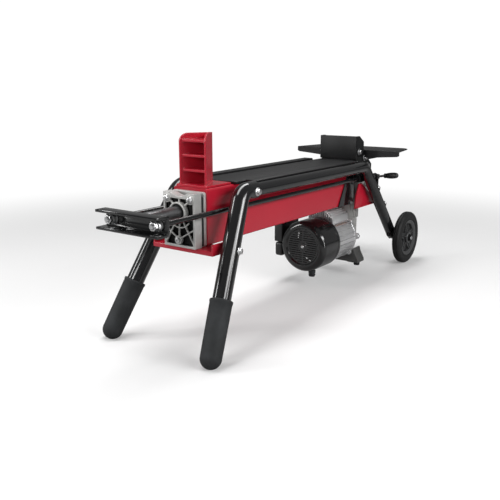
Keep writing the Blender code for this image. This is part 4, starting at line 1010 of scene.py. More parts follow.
def make_hub(side, centre, half, rim, sizes):
    """A moulded wheel: rim, boss and spokes that taper towards the rim."""
    bore, boss_radius, deep = 0.0066, sizes.boss, half - 0.003
    ring = lathe([(rim, deep + 0.0012), (rim, -deep - 0.0012), (rim - 0.0022, -deep - 0.0006),
                  (rim - sizes.rim_depth, -deep + 0.0030), (rim - sizes.rim_depth, deep - 0.0030),
                  (rim - 0.0022, deep + 0.0006)], centre, (0, 1, 0), 80)
    nave = lathe([(bore, half - 0.0003), (bore + 0.0012, half), (boss_radius - 0.0012, half),
                  (boss_radius, half - 0.0015), (boss_radius + 0.0015, -half + 0.0015),
                  (boss_radius, -half), (bore, -half)], centre, (0, 1, 0), 48)
    spokes = []
    for index in range(sizes.spokes):
        turn = 2 * math.pi * index / sizes.spokes + math.radians(90)
        along, across = Vector((math.cos(turn), math.sin(turn))), Vector((-math.sin(turn), math.cos(turn)))
        corners = [along * reach + across * width * sizes.spoke for reach, width in (
            (boss_radius - 0.003, -0.62), (rim - sizes.rim_depth + 0.0015, -0.38),
            (rim - sizes.rim_depth + 0.0015, 0.38), (boss_radius - 0.003, 0.62))]
        outline = [(station(centre.x) + c.x, centre.z + c.y) for c in corners]
        spokes.append(eased(prism("Y", [outline], centre.y - deep + 0.0045, centre.y + deep - 0.0045),
                            0.0011))
        ridge = [along * reach + across * width * 0.0012 for reach, width in (
            (boss_radius - 0.003, -1), (rim - sizes.rim_depth + 0.0015, -1),
            (rim - sizes.rim_depth + 0.0015, 1), (boss_radius - 0.003, 1))]
        outline = [(station(centre.x) + c.x, centre.z + c.y) for c in ridge]
        spokes.append(prism("Y", [outline], centre.y - deep + 0.0022, centre.y + deep - 0.0022))
    piece(f"wheel_moulding_{side}", join(ring, nave, *spokes), "hub plastic", "wheel_" + side,
          ["hub_" + side], sharp=32)
    # A thin web behind the spokes, part of the hub moulding, given the darker tyre rubber as painted shade for the
    # shadowed space behind the spokes.
    face = 0.0010 if side == "right" else -0.0010
    web = lathe([(boss_radius + 0.0016, face - 0.0007), (rim - sizes.rim_depth - 0.0002, face - 0.0007),
                 (rim - sizes.rim_depth - 0.0002, face + 0.0007), (boss_radius + 0.0016, face + 0.0007)],
                centre, (0, 1, 0), 64)
    piece(f"wheel_shade_web_{side}", web, "tyre rubber", "wheel_" + side)


def make_axle():
    """A stub axle for each wheel, with its lock nut inside the leg and a cap on its outer end."""
    for side, sign in (("left", 1), ("right", -1)):
        node = "axle_" + side
        start, end = low(node), high(node)
        reach, radius = end.y - start.y, (end.z - start.z) / 2
        bar = lathe([(0.0, 0.0), (radius - 0.0008, 0.0), (radius, 0.0008), (radius, reach - 0.0008),
                     (radius - 0.0008, reach), (0.0, reach)], Vector((AXLE[0], start.y, AXLE[1])),
                     (0, 1, 0), 40)
        piece(f"stub_axle_{side}", bar, "ground steel", "frame", [node])
        face, inboard = sign * (high("tyre_left").y + 0.0022), min(abs(start.y), abs(end.y)) * sign
        caps = placed(bolt(0.0150, 0.0046, washer=0.0105), [
            (Vector((AXLE[0], face, AXLE[1])), (0, sign, 0), 12),
            (Vector((AXLE[0], inboard + sign * 0.0055, AXLE[1])), (0, -sign, 0), 0)])
        piece(f"axle_nuts_{side}", caps, "black powder coat", "frame")


def make_frame_bolts(sizes, tubes):
    """Flange bolts through the legs, rails and saddles."""
    spots = []
    for sign in (1, -1):
        spots.append((at(0.1180, sign * (RAIL_Y + tubes.leg_radius - 0.0006), RAIL_Z - 0.0012),
                      (0, sign, 0), 15))
        knee, _, down = leg_direction(sign)
        centre = knee + down * ((0.1860 - knee.z) / down.z)
        out = Vector((0.32, sign * 0.95, 0))
        out = (out - down * out.dot(down)).normalized()
        spots.append((centre + out * (tubes.leg_radius - 0.0006), out, 10))
        out = Vector((-REAR_DOWN.z, sign * 0.35, REAR_DOWN.x)).normalized()
        for z in (0.2140, 0.1680):
            centre = at(REAR_KNEE_X + REAR_LEAN * (RAIL_Z - z), sign * RAIL_Y, z)
            spots.append((centre + out * (tubes.rail_radius - 0.0006), out, 20))
    template = bolt(sizes.flange_bolt, 0.0058, flange=0.0082)
    piece("frame_bolts", placed(template, spots), "zinc plate", "frame")
    caps = [(at(-0.0016, side * BOLT_Y, BOLT_Z), BACK, 8 * side) for side in (1, -1)]
    piece("cap_bolts", placed(bolt(0.0092, 0.0048, flange=0.0064), caps), "zinc plate", "frame")
    drain = bolt(sizes.small + 0.001, 0.0030, socket=0.0026)
    piece("drain_screw", placed(drain, [(at(-0.0019, DRAIN_Y, DRAIN_Z), BACK, 0)]), "zinc plate", "frame")
    stops = []
    for sign in (1, -1):
        out = Vector((REAR_DOWN.z, 0, -REAR_DOWN.x)).normalized()
        centre = at(REAR_KNEE_X + REAR_LEAN * (RAIL_Z - 0.0930), sign * RAIL_Y, 0.0930)
        stops.append((centre + out * (tubes.rail_radius - 0.0006), out, 0))
    piece("rail_stops", placed(bolt(0.0090, 0.0046, flange=0.0066), stops), "black powder coat", "frame")


def make_saddles():
    start, end = low("front_saddle"), high("front_saddle")
    wall, x0, x1 = 0.004, station(start.x), station(end.x)
    floor, foot = end.z - 0.012, start.z
    channel = [(x0, foot), (x0 + wall, foot), (x0 + wall, floor - wall), (x1 - wall, floor - wall),
               (x1 - wall, foot), (x1, foot), (x1, floor), (x0, floor)]
    form = eased(prism("Y", [channel], start.y, end.y), 0.0009)
    tabs = []
    for sign in (1, -1):
        near, far = sorted((sign * (end.y - wall), sign * end.y))
        tabs.append(eased(block((x0 + 0.001, near, foot), (x1 - 0.001, far, end.z)), 0.0006))
    piece("front_saddle_channel", join(form, *tabs), "red enamel", "frame", ["front_saddle"])
    start, end = low("rear_saddle"), high("rear_saddle")
    front, back, z0, z1 = station(start.x), station(end.x), start.z, end.z
    side_shape = [(front, z0), (back, z0), (back, z0 + 0.012), (front + 0.034, z1), (front + 0.018, z1),
                  (front + 0.004, z0 + 0.030)]
    inner, outer = RAIL_Y - 0.0210, RAIL_Y - 0.0170
    form = block((station(high("pump_cover").x) + 0.004, -outer + 0.0005, z0 + 0.0005),
                 (back - 0.001, outer - 0.0005, z0 + 0.004))
    others = []
    for sign in (1, -1):
        near, far = sorted((sign * inner, sign * outer))
        others.append(eased(prism("Y", [side_shape], near, far), 0.0008))
        near, far = sorted((sign * (outer - 0.001), sign * end.y))
        others.append(block((front + 0.002, near, z0 + 0.001), (back - 0.002, far, z0 + 0.0035)))
    piece("rear_saddle_bracket", join(form, *others), "red enamel", "frame", ["rear_saddle"])


# ------------------------------------------------------------------------------ motor, pump and valve
MOTOR_Z = middle("fan_cover").z
COVER_X0, COVER_X1 = station(low("fan_cover").x), station(high("fan_cover").x)
COVER_RADIUS = high("fan_cover").z - MOTOR_Z
BODY_X0, BODY_X1 = station(low("end_bell").x), station(high("motor_housing").x)
BODY_RADIUS = high("motor_housing").z - MOTOR_Z


def make_fan_cover(sizes):
    """Domed shell with a recessed grille of level slots round a plain centre."""
    radius, reach, wall, bend = COVER_RADIUS, COVER_X1 - COVER_X0, sizes.cover_wall, 0.0130
    outside, inside = [], []
    for step in range(11):
        angle = math.radians(9 * step)
        outside.append((radius - bend + bend * math.cos(angle), reach - bend + bend * math.sin(angle)))
        inside.append((radius - bend + (bend - wall) * math.cos(angle),
                       reach - bend + (bend - wall) * math.sin(angle)))
    recess, grille = 0.0040, 0.0430
    face = [(0.0, reach - recess + 0.0010), (0.0085, reach - recess + 0.0010), (0.0092, reach - recess),
            (grille - 0.0006, reach - recess), (grille, reach - recess + 0.0005),
            (grille + 0.0016, reach - 0.0008), (grille + 0.0028, reach)]
    back = [(grille + 0.0010, reach - recess - wall), (0.0, reach - recess - wall)]
    skirt = [(radius, 0.0105), (radius - 0.0007, 0.0100), (radius - 0.0007, 0.0085), (radius, 0.0080),
             (radius, 0.0),
             (radius - wall, 0.0)]
    profile = face + outside[::-1] + skirt + inside + back
    form = lathe(profile, at(COVER_X1, 0, MOTOR_Z), BACK, 96)
    slots, count = [], int(grille / sizes.slot_pitch)
    for row in range(-count, count + 1):
        z = row * sizes.slot_pitch
        reach_y = math.sqrt(max(0.0, (grille - 0.0035) ** 2 - z * z))
        inner = math.sqrt(max(0.0, 0.0125 ** 2 - z * z)) if abs(z) < 0.0125 else 0.0016
        if reach_y - inner < 0.006:
            continue
        for near, far in ((inner, reach_y), (-reach_y, -inner)):
            outline = rounded(near, MOTOR_Z + z - sizes.slot / 2, far, MOTOR_Z + z + sizes.slot / 2,
                              sizes.slot * 0.45, 3)
            slots.append(prism("X", [outline], COVER_X0 - 0.002, COVER_X0 + 0.012))
    form = combine(form, [merged(*slots)], "DIFFERENCE")
    clip = eased(block((COVER_X0 + 0.030, -0.0052, MOTOR_Z + radius - 0.0030),
                       (COVER_X0 + 0.042, 0.0052, MOTOR_Z + radius + 0.0016)), 0.0010)
    turn = (Matrix.Translation((0, 0, MOTOR_Z)) @ Matrix.Rotation(math.radians(38), 4, "X")
            @ Matrix.Translation((0, 0, -MOTOR_Z)))
    bmesh.ops.transform(clip, matrix=turn, verts=clip.verts)
    piece("fan_shroud", form, "gloss plastic", "frame", ["fan_cover"], sharp=32)
    piece("shroud_clip", clip, "gloss plastic", "frame")
    screw = placed(bolt(0.0052, 0.0016, flange=0.0040), [(at(COVER_X0 + 0.0031, 0, MOTOR_Z), BACK, 0)])
    piece("shroud_screw", screw, "zinc plate", "frame")


def fin_outline(sizes):
    """The motor body's section: tall thin fins over the top, wide bands with grooves down the sides."""
    points = []

    def arc(first, last, radius, steps):
        for step in range(steps + 1):
            angle = math.radians(90 - (first + (last - first) * step / steps))
            points.append((radius * math.cos(angle), MOTOR_Z + radius * math.sin(angle)))

    full, angle = BODY_RADIUS, -180.0
    while angle < 179.9:
        tall = abs(angle + 3.0) < 48.0
        pitch, gap = (6.0, 3.2) if tall else (12.0, 2.8)
        plain = abs(angle) > 150.0
        root = full - (sizes.fin_depth if tall else (0.0006 if plain else sizes.groove))
        arc(angle, angle + pitch - gap, full if tall else full - 0.0008, 1 if tall else 4)
        arc(angle + pitch - gap + 0.35, angle + pitch - 0.35, root, 1)
        angle += pitch
    return points


def make_motor_body(sizes):
    finned = prism("X", [fin_outline(sizes), circle(0, MOTOR_Z, 0.047, 64)], BODY_X0 + 0.0060,
                   BODY_X1 - 0.0180)
    piece("motor_fins", eased(finned, 0.0004, 1), "motor casting", "frame", sharp=30)
    full = BODY_RADIUS
    # Tall fins stand on the body's top, lower towards the sides, and stay clear of the beam above.
    crest = low("tank_beam").z - 0.0075 - MOTOR_Z
    pitch, half_span, fall = 0.0056, 0.034, 0.0150
    blades = []
    for index in range(-6, 7):
        y = index * pitch
        head = MOTOR_Z + crest - (abs(y) / half_span) ** 2 * fall
        foot = MOTOR_Z + math.sqrt((full - 0.0050) ** 2 - y * y)
        blades.append(eased(block((BODY_X0 + 0.0070, y - 0.0010, foot),
                                  (BODY_X1 - 0.0185, y + 0.0010, head)),
                            0.0005, 2))
    piece("motor_top_fins", merged(*blades), "motor casting", "frame")
    x = BODY_X1 - 0.0178
    shield = lathe([(0.0, 0.0), (full - 0.0010, 0.0), (full - 0.0002, 0.0008), (full - 0.0002, 0.0060),
                    (full - 0.0022, 0.0078), (full - 0.0070, 0.0112), (full - 0.0150, 0.0150),
                    (0.0300, 0.0176), (0.0, 0.0176)], at(x, 0, MOTOR_Z), (1, 0, 0), 96)
    lugs = []
    for angle in (45, 135, 225, 315):
        seat, turned = full - 0.0005, math.radians(angle)
        y, z = seat * math.cos(turned), seat * math.sin(turned)
        lugs.append(lathe([(0.0, 0.0), (0.0056, 0.0), (0.0062, 0.0006), (0.0062, 0.0094), (0.0054, 0.0102),
                           (0.0, 0.0102)], at(x, y * 0.985, MOTOR_Z + z * 0.985), (1, 0, 0), 32))
    piece("motor_end_shield", join(shield, *lugs), "motor casting", "frame",
          ["motor_housing"], sharp=34)
    ring = lathe([(full - 0.0012, 0.0), (full, 0.0010), (full, 0.0052), (full - 0.0010, 0.0058),
                  (0.0084, 0.0058),
                  (0.0084, 0.0)], at(BODY_X0, 0, MOTOR_Z), (1, 0, 0), 96)
    piece("motor_front_shield", ring, "motor casting", "frame", ["end_bell"], sharp=40)
    spots = []
    for angle in (45, 135, 225, 315):
        reach = (full - 0.0005) * 0.985
        spots.append((at(x + 0.0102, reach * math.cos(math.radians(angle)),
                         MOTOR_Z + reach * math.sin(math.radians(angle))), (1, 0, 0), angle))
    spots.append((at(x + 0.0060, -full - 0.0052, MOTOR_Z + 0.0040), (0.35, -1, 0), 0))
    piece("motor_bolts", placed(bolt(0.0070, 0.0036, flange=0.0052), spots), "zinc plate", "frame")
    ear = eased(block((x + 0.0005, -full - 0.0056, MOTOR_Z - 0.0035), (x + 0.0110, -full + 0.0040,
                                                                       MOTOR_Z + 0.0110)), 0.0016, 3)
    piece("motor_ear", ear, "motor casting", "frame")


def make_pump(sizes):
    start, end = low("pump_housing"), high("pump_housing")
    x0, x1 = station(start.x), station(end.x)
    form = eased(prism("X", [rounded(start.y, start.z, end.y, end.z, 0.007, 8)], x0, x1), 0.0010)
    piece("pump_body", form, "cast aluminium", "frame", ["pump_housing"])
    start, end = low("pump_cover"), high("pump_cover")
    c0, c1 = station(start.x), station(end.x)
    cover = eased(prism("X", [rounded(start.y, start.z, end.y, end.z, 0.008, 8)], c0, c1), 0.0012)
    piece("pump_end_cover", cover, "cast aluminium", "frame", ["pump_cover"])
    corners = [(y, z) for y in (start.y + 0.0075, end.y - 0.0075)
               for z in (start.z + 0.0075, end.z - 0.0075)]
    spots = [(at(c1 - 0.0002, y, z), (1, 0, 0), 10) for y, z in corners]
    piece("pump_bolts", placed(bolt(sizes.small, 0.0052, socket=0.0024, flange=0.0060), spots),
          "zinc plate",
          "frame")
    fins = []
    top = low("valve_block").z - 0.0006
    for index in range(6):
        x = x0 - 0.0125 + index * 0.0098
        head = top if x > x0 - 0.004 else low("tank_beam").z - 0.0010
        fins.append(eased(prism("X", [rounded(-0.0350, MOTOR_Z + 0.0420, 0.0350, head, 0.0050, 5)],
                                x, x + 0.0032), 0.0005))
    piece("pump_fins", join(*fins), "cast aluminium", "frame")


def make_valve():
    start, end = low("valve_block"), high("valve_block")
    x0, x1 = station(start.x), station(end.x)
    spool = middle("valve_spool")
    form = block((x0, start.y, start.z), (x1, end.y, end.z))
    ring = lathe([(0.0, 0.0), (0.0105, 0.0), (0.0095, 0.0060), (0.0, 0.0060)],
                 Vector((spool.x, start.y + 0.0005, spool.z)), (0, -1, 0), 40)
    pads = [prism("Y", [rounded(x0 + 0.010, start.z + 0.014, x0 + 0.052, end.z - 0.016, 0.006)], *sorted(
        (sign * (end.y - 0.001), sign * (end.y + 0.0024)))) for sign in (1, -1)]
    bore = lathe([(0.0, 0.0), (0.0056, 0.0), (0.0056, 0.090), (0.0, 0.090)],
                 Vector((spool.x, end.y - 0.006, spool.z)), (0, -1, 0), 32)
    form = cast(cut(join(form, ring, *pads), bore), 0.0009, 3)
    piece("valve_casting", form, "cast aluminium", "frame", ["valve_block"], sharp=80)
    plugs = []
    for sign in (1, -1):
        for x, z in ((x0 + 0.020, end.z - 0.034), (x0 + 0.040, start.z + 0.034)):
            plugs.append((at(x, sign * (end.y + 0.0022), z), (0, sign, 0), 15))
    for y, z in ((0.018, end.z - 0.022), (-0.018, end.z - 0.022), (0.018, start.z + 0.022),
                 (-0.018, start.z + 0.022)):
        plugs.append((at(x1 - 0.0004, y, z), (1, 0, 0), 0))
    piece("valve_plugs", placed(bolt(0.0125, 0.0050, socket=0.0034), plugs), "zinc plate", "frame")
    x, y0, y1, z = spool.x, low("valve_spool").y, high("valve_spool").y, spool.z
    spool_form = lathe([(0.0, 0.0), (0.0042, 0.0), (0.0050, 0.0008), (0.0050, 0.012), (0.0041, 0.0125),
                        (0.0041, 0.0150), (0.0050, 0.0155), (0.0050, y1 - y0), (0.0, y1 - y0)],
                       Vector((x, y0, z)), (0, 1, 0), 40)
    piece("spool_bar", spool_form, "ground steel", "spool", ["valve_spool"])


def make_mounts():
    start, end = low("foot_bracket"), high("foot_bracket")
    x0, x1, sole = station(start.x), station(end.x), start.z
    outline = [(0.064, 0.0), (0.037, 0.0), (0.032, 0.0012), (-0.032, 0.0012), (-0.037, 0.0), (-0.064, 0.0),
               (-0.064, 0.007), (-0.054, 0.026), (-0.050, 0.040), (0.050, 0.040), (0.054, 0.026),
               (0.064, 0.007)]
    form = prism("X", [[(y, sole + z) for y, z in outline]], x0, x1)
    saddle = lathe([(0.0, 0.0), (BODY_RADIUS + 0.0002, 0.0), (BODY_RADIUS + 0.0002, 0.08), (0.0, 0.08)],
                   at(x0 - 0.02, 0, MOTOR_Z), (1, 0, 0), 96)
    form = eased(cut(form, saddle), 0.0012)
    piece("motor_foot", form, "grey casting", "frame", ["foot_bracket"])
    for side in ("left", "right", "front"):
        node = "rubber_foot_" + side
        start, end = low(node), high(node)
        radius, tall = (end.x - start.x) / 2, end.z - start.z
        form = lathe([(0.0, tall), (radius * 0.8, tall), (radius, tall - 0.0010), (radius, tall * 0.55),
                      (radius * 0.86, tall * 0.50), (radius * 0.86, tall * 0.40),
                      (radius * 0.96, tall * 0.34),
                      (radius * 0.86, 0.0006), (radius * 0.80, 0.0), (0.0, 0.0)],
                     Vector((middle(node).x, middle(node).y, start.z)), (0, 0, 1), 48)
        piece(f"rubber_buffer_{side}", form, "grip rubber", "frame", [node])


def make_switch():
    for node, name, ease, finish in (("switch_box", "switch_case", 0.0028, "satin plastic"),
                                     ("capacitor_box", "capacitor_case", 0.0060, "satin plastic")):
        start, end = low(node), high(node)
        form = block((station(start.x), start.y, start.z), (station(end.x), end.y, end.z))
        form = eased(form, ease, 4)
        seam_x = start.x + (end.x - start.x) * 0.16
        seam = block((station(seam_x), start.y - 0.01, start.z - 0.01),
                     (station(seam_x) + 0.0008, end.y + 0.01, end.z + 0.01))
        core = block((station(seam_x) - 0.001, start.y + 0.0012, start.z + 0.0012),
                     (station(seam_x) + 0.002, end.y - 0.0012, end.z - 0.0012))
        form = cut(form, cut(seam, core))
        if node == "switch_box":
            button = middle("start_button")
            well = lathe([(0.0, 0.0), (0.0082, 0.0), (0.0082, 0.03), (0.0, 0.03)],
                         Vector((end.x - 0.0105, button.y, button.z)), (1, 0, 0), 48)
            form = cut(form, well)
        piece(name, form, finish, "frame", [node], sharp=34)
    start, end = low("switch_box"), high("switch_box")
    button = middle("start_button")
    x1 = end.x
    bezel = lathe([(0.0084, 0.0), (0.0104, 0.0), (0.0104, 0.0012), (0.0098, 0.0020), (0.0088, 0.0020),
                   (0.0084, 0.0014)], Vector((x1 - 0.0002, button.y, button.z)), (1, 0, 0), 56)
    piece("button_bezel", bezel, "zinc plate", "frame")
    b0, b1 = low("start_button").x, high("start_button").x
    knob = lathe([(0.0, b1 - b0 - 0.0006), (0.0040, b1 - b0 - 0.0005), (0.0064, b1 - b0),
                  (0.0072, b1 - b0 - 0.0004),
                  (0.0076, b1 - b0 - 0.0012), (0.0076, 0.0), (0.0, 0.0)],
                 Vector((b0, button.y, button.z)), (1, 0, 0), 56)
    piece("start_knob", knob, "green plastic", "button", ["start_button"])
    spots = [(Vector((x, end.y - 0.0003, z)), (0, 1, 0), 0)
             for x in (start.x + 0.019, end.x - 0.007) for z in (start.z + 0.007, end.z - 0.007)]
    piece("switch_screws", placed(bolt(0.0044, 0.0014, flange=0.0032), spots), "zinc plate", "frame")


def make_lever():
    start, end = low("control_lever"), high("control_lever")
    grip_high = high("lever_grip")
    pin = frame_pin()
    hub_x0, hub_x1 = start.x, end.x
    reach = hub_x1 - hub_x0
    hub = lathe([(0.0034, 0.0), (0.0078, 0.0), (0.0086, 0.0008), (0.0086, reach - 0.0008), (0.0078, reach),
                 (0.0034, reach)], Vector((hub_x0, pin.y, pin.z)), (1, 0, 0), 48)
    x = (hub_x0 + hub_x1) / 2
    toe = eased(block((station(x) - 0.006, pin.y - 0.0035, start.z), (station(x) + 0.006, pin.y + 0.0062,
                                                                        pin.z - 0.0045)), 0.0008)
    knuckle = eased(block((station(x) - 0.0062, pin.y - 0.0150, pin.z - 0.0052),
                          (station(x) + 0.0062, pin.y - 0.0050, pin.z + 0.0066)), 0.0016, 3)
    bore = lathe([(0.0, -0.01), (0.0034, -0.01), (0.0034, reach + 0.01), (0.0, reach + 0.01)],
                 Vector((hub_x0, pin.y, pin.z)), (1, 0, 0), 32)
    piece("lever_knuckle", cut(join(hub, toe, knuckle), bore), "satin plastic", "lever",
          ["control_lever"], sharp=34)
    root = Vector((x, pin.y - 0.0140, pin.z + 0.0013))
    tip = Vector((x, grip_high.y, pin.z + 0.0040))
    run = (tip - root).length + 0.004
    arm = lathe([(0.0, 0.0), (0.0027, 0.0), (0.0027, run * 0.30), (0.0030, run * 0.32), (0.0030, run),
                 (0.0, run)], root, tip - root, 32)
    piece("lever_arm", arm, "zinc plate", "lever")
    heading = Vector((0, -1, 0.10)).normalized()
    profile = [(0.0, 0.0380), (0.0030, 0.0377), (0.0052, 0.0364), (0.0067, 0.0335), (0.0075, 0.0285),
               (0.0078, 0.0225), (0.0076, 0.0165), (0.0070, 0.0110), (0.0061, 0.0065), (0.0056, 0.0040),
               (0.0062, 0.0034), (0.0062, 0.0014), (0.0054, 0.0004), (0.0032, 0.0), (0.0032, 0.008),
               (0.0, 0.008)]
    piece("lever_handle", lathe(profile, Vector((x, grip_high.y, pin.z + 0.0040)), heading, 56),
          "satin plastic",
          "lever", ["lever_grip"])


def frame_pin():
    """The lever's pivot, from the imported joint."""
    joint = next(j for j in frame["joints"] if j["name"] == "lever_tilt")
    return Vector(joint["pos_m"])


def make_hidden():
    """Pieces inside the machine, and plain ones: their own shape, in their own finish."""
    finishes = {
        "dark steel": ("cylinder_tube", "piston", "bearing_front", "bearing_rear", "lever_bracket"),
        "ground steel": ("rotor_shaft", "pump_drive_gear", "pump_driven_gear"),
        "copper windings": ("stator",), "satin plastic": ("cooling_fan",),
        "gasket rubber": ("front_gasket",)}
    for finish, nodes in finishes.items():
        for node in nodes:
            for slot in frame["nodes"][node].material_slots:
                slot.material = finish_named(finish)


# ------------------------------------------------------------------------------ studio
CAMERA_PLACE = at(-0.8686, -0.7891, 0.4665)
CAMERA_VIEW = Vector((0.7866, 0.5696, -0.2386))
CAMERA_LENS = 46.8
# The floor is softly shaded from this distance inwards, and plain white from this distance outwards.
SHADED_TO, WHITE_FROM = 0.7, 2.0


def area_light(name, place, target, size, power, tone=(1.0, 1.0, 1.0)):
    light = bpy.data.lights.new(name, "AREA")
    light.shape, light.size, light.size_y = "RECTANGLE", size[0], size[1]
    light.energy, light.color = power, tone
    thing = bpy.data.objects.new(name, light)
    bpy.context.scene.collection.objects.link(thing)
    thing.location = place
    thing.rotation_euler = (Vector(target) - Vector(place)).to_track_quat("-Z", "Y").to_euler()
    return thing


def make_stage(settings):
    centre = (cad_box[0] + cad_box[1]) / 2
    form = bmesh.new()
    bmesh.ops.create_grid(form, x_segments=8, y_segments=8, size=60.0)
    floor = as_object(form, "floor")
    floor.location = (centre[0], centre[1], cad_box[0][2])
    finish = Finish("studio floor", {"Specular IOR Level": 0.1})
    colour = tuple(settings.floor)
    finish.feed(Base_Color=finish.mix(finish.noise(3.0), shade(colour, 0.985), colour),
                Roughness=0.75 + finish.noise(8.0) * 0.1)
    dull = finish.node("ShaderNodeBsdfDiffuse", sockets={"Color": (0.40, 0.40, 0.40, 1.0)})
    lit = finish.node("ShaderNodeEmission", sockets={"Color": (1.0, 1.0, 1.0, 1.0), "Strength": 1.02})
    away = finish.node("ShaderNodeVectorMath", {"operation": "LENGTH"}, {0: finish.place}, output=1)
    pale = finish.node("ShaderNodeMixShader", sockets={
        0: finish.spread(away, SHADED_TO, WHITE_FROM, 0.16, 1.0), 1: Value(finish, finish.shader.outputs[0]), 2: lit})
    shown = finish.node("ShaderNodeMixShader", sockets={
        0: finish.node("ShaderNodeLightPath"), 1: dull, 2: pale})
    finish.tree.links.new(shown.socket, finish.tree.nodes["Material Output"].inputs[0])
    floor.data.materials.append(finish.material)

    world = bpy.data.worlds.new("studio")
    world.use_nodes = True
    tree = world.node_tree
    background = tree.nodes["Background"]
    background.inputs["Color"].default_value = (1.0, 1.0, 1.0, 1.0)
    background.inputs["Strength"].default_value = 0.20
    seen = tree.nodes.new("ShaderNodeBackground")
    seen.inputs["Color"].default_value = (1.0, 1.0, 1.0, 1.0)
    seen.inputs["Strength"].default_value = 1.05
    path, blend = tree.nodes.new("ShaderNodeLightPath"), tree.nodes.new("ShaderNodeMixShader")
    tree.links.new(path.outputs["Is Camera Ray"], blend.inputs[0])
    tree.links.new(background.outputs[0], blend.inputs[1])
    tree.links.new(seen.outputs[0], blend.inputs[2])
    tree.links.new(blend.outputs[0], tree.nodes["World Output"].inputs[0])
    bpy.context.scene.world = world

    target = centre
    area_light("overhead softbox", (centre[0], centre[1] + 0.25, 1.45), target, (1.9, 0.40), 17.0)
    area_light("side softbox", (centre[0] - 0.1, -1.75, 1.10), target, (1.7, 0.45), 20.0)
    area_light("left strip", (-1.25, 1.25, 0.85), (-0.35, 0, 0.2), (0.22, 1.3), 11.0)
    area_light("right strip", (-0.05, -1.45, 0.45), (-0.30, -0.1, 0.2), (0.14, 1.1), 5.0)
    area_light("front fill", (-2.0, 0.1, 0.8), target, (0.5, 0.5), 9.0)

    camera = bpy.data.cameras.new("camera")
    camera.lens, camera.sensor_width = CAMERA_LENS, 36.0
    thing = bpy.data.objects.new("camera", camera)
    bpy.context.scene.collection.objects.link(thing)
    thing.location = CAMERA_PLACE
    thing.rotation_euler = CAMERA_VIEW.to_track_quat("-Z", "Y").to_euler()
    scene = bpy.context.scene
    scene.camera = thing
    scene.view_settings.view_transform = "Standard"


# ------------------------------------------------------------------------------ operators
class SPLITTER_OT_stage(bpy.types.Operator):
    """Lay the floor and set the lights and the camera"""

    bl_idname = "splitter.stage"
    bl_label = "Studio"

    def execute(self, context):
        make_stage(context.scene.log_splitter.colours)
        return {"FINISHED"}


class SPLITTER_OT_finishes(bpy.types.Operator):
    """Mix the paints, metals, rubbers and plastics"""

    bl_idname = "splitter.finishes"
    bl_label = "Finishes"

    def execute(self, context):
        make_finishes(context.scene.log_splitter.colours)
        return {"FINISHED"}


class SPLITTER_OT_beam(bpy.types.Operator):
    """Build the square beam, its end plates, the bed plate and the ledges the log rests between"""

    bl_idname = "splitter.beam"
    bl_label = "Beam and bed"

    def execute(self, context):
        make_beam()
        make_bed()
        return {"FINISHED"}


class SPLITTER_OT_cap(bpy.types.Operator):
    """Cast the ribbed front cap"""

    bl_idname = "splitter.cap"
    bl_label = "Front cap"

    def execute(self, context):
        make_cap(context.scene.log_splitter.castings)
        return {"FINISHED"}


class SPLITTER_OT_wedge(bpy.types.Operator):
    """Build the splitting wedge"""

    bl_idname = "splitter.wedge"
    bl_label = "Wedge"

    def execute(self, context):
        make_wedge()
        return {"FINISHED"}


class SPLITTER_OT_ram(bpy.types.Operator):
    """Build the moving ram: crossbar, rods, nuts, pusher and tray"""

    bl_idname = "splitter.ram"
    bl_label = "Ram"

    def execute(self, context):
        fixings = context.scene.log_splitter.fixings
        make_crossbar()
        make_rods(fixings)
        make_pusher(fixings)
        return {"FINISHED"}


class SPLITTER_OT_tubes(bpy.types.Operator):
    """Bend the rails and the front legs and fit the foot grips"""

    bl_idname = "splitter.tubes"
    bl_label = "Rails and legs"

    def execute(self, context):
        tubes = context.scene.log_splitter.tubes
        make_rails(tubes)
        make_legs(tubes)
        make_saddles()
        return {"FINISHED"}


class SPLITTER_OT_wheels(bpy.types.Operator):
    """Build the tyres, the spoked hubs and the stub axles"""

    bl_idname = "splitter.wheels"
    bl_label = "Wheels"

    def execute(self, context):
        settings = context.scene.log_splitter
        make_wheels(settings.wheels)
        make_axle()
        return {"FINISHED"}


class SPLITTER_OT_fixings(bpy.types.Operator):
    """Fit the bolts of the cap, legs and rails"""

    bl_idname = "splitter.fixings"
    bl_label = "Fixings"

    def execute(self, context):
        settings = context.scene.log_splitter
        make_frame_bolts(settings.fixings, settings.tubes)
        return {"FINISHED"}


class SPLITTER_OT_motor(bpy.types.Operator):
    """Build the fan cover, the finned motor body and its foot"""

    bl_idname = "splitter.motor"
    bl_label = "Motor"

    def execute(self, context):
        motor = context.scene.log_splitter.motor
        make_fan_cover(motor)
        make_motor_body(motor)
        make_mounts()
        return {"FINISHED"}


class SPLITTER_OT_pump(bpy.types.Operator):
    """Build the gear pump, the valve block and its spool"""

    bl_idname = "splitter.pump"
    bl_label = "Pump and valve"

    def execute(self, context):
        fixings = context.scene.log_splitter.fixings
        make_pump(fixings)
        make_valve()
        return {"FINISHED"}


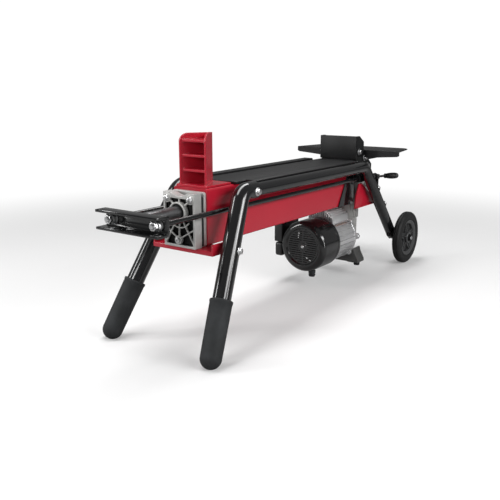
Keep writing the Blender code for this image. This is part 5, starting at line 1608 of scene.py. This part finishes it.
class SPLITTER_OT_controls(bpy.types.Operator):
    """Build the switch, the capacitor case, the start button and the lever"""

    bl_idname = "splitter.controls"
    bl_label = "Switch and lever"

    def execute(self, context):
        make_switch()
        make_lever()
        return {"FINISHED"}


class SPLITTER_OT_inside(bpy.types.Operator):
    """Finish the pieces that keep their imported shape"""

    bl_idname = "splitter.inside"
    bl_label = "Inner pieces"

    def execute(self, context):
        make_hidden()
        return {"FINISHED"}


OPERATORS = (SPLITTER_OT_finishes, SPLITTER_OT_stage, SPLITTER_OT_beam, SPLITTER_OT_cap, SPLITTER_OT_wedge,
             SPLITTER_OT_ram, SPLITTER_OT_tubes, SPLITTER_OT_wheels, SPLITTER_OT_fixings, SPLITTER_OT_motor,
             SPLITTER_OT_pump, SPLITTER_OT_controls, SPLITTER_OT_inside)


class SPLITTER_PT_build(bpy.types.Panel):
    """The splitter's steps and sizes"""

    bl_label = "Log splitter"
    bl_idname = "SPLITTER_PT_build"
    bl_space_type = "VIEW_3D"
    bl_region_type = "UI"
    bl_category = "Log splitter"

    def draw(self, context):
        settings = context.scene.log_splitter
        for group in (settings.colours, settings.tubes, settings.castings, settings.wheels, settings.motor,
                      settings.fixings):
            box = self.layout.box()
            for key in group.__annotations__:
                box.prop(group, key)
        for step in OPERATORS:
            self.layout.operator(step.bl_idname)


CLASSES = (SplitterColours, TubeSizes, CastingSizes, WheelSizes, MotorSizes, FixingSizes, SplitterSettings,
           *OPERATORS, SPLITTER_PT_build)


def register():
    for thing in CLASSES:
        bpy.utils.register_class(thing)
    bpy.types.Scene.log_splitter = PointerProperty(type=SplitterSettings)


def unregister():
    del bpy.types.Scene.log_splitter
    for thing in reversed(CLASSES):
        bpy.utils.unregister_class(thing)


def main():
    register()
    bpy.ops.splitter.finishes()
    bpy.ops.splitter.stage()
    bpy.ops.splitter.beam()
    bpy.ops.splitter.cap()
    bpy.ops.splitter.wedge()
    bpy.ops.splitter.ram()
    bpy.ops.splitter.tubes()
    bpy.ops.splitter.wheels()
    bpy.ops.splitter.fixings()
    bpy.ops.splitter.motor()
    bpy.ops.splitter.pump()
    bpy.ops.splitter.controls()
    bpy.ops.splitter.inside()


if __name__ == "__main__":
    main()
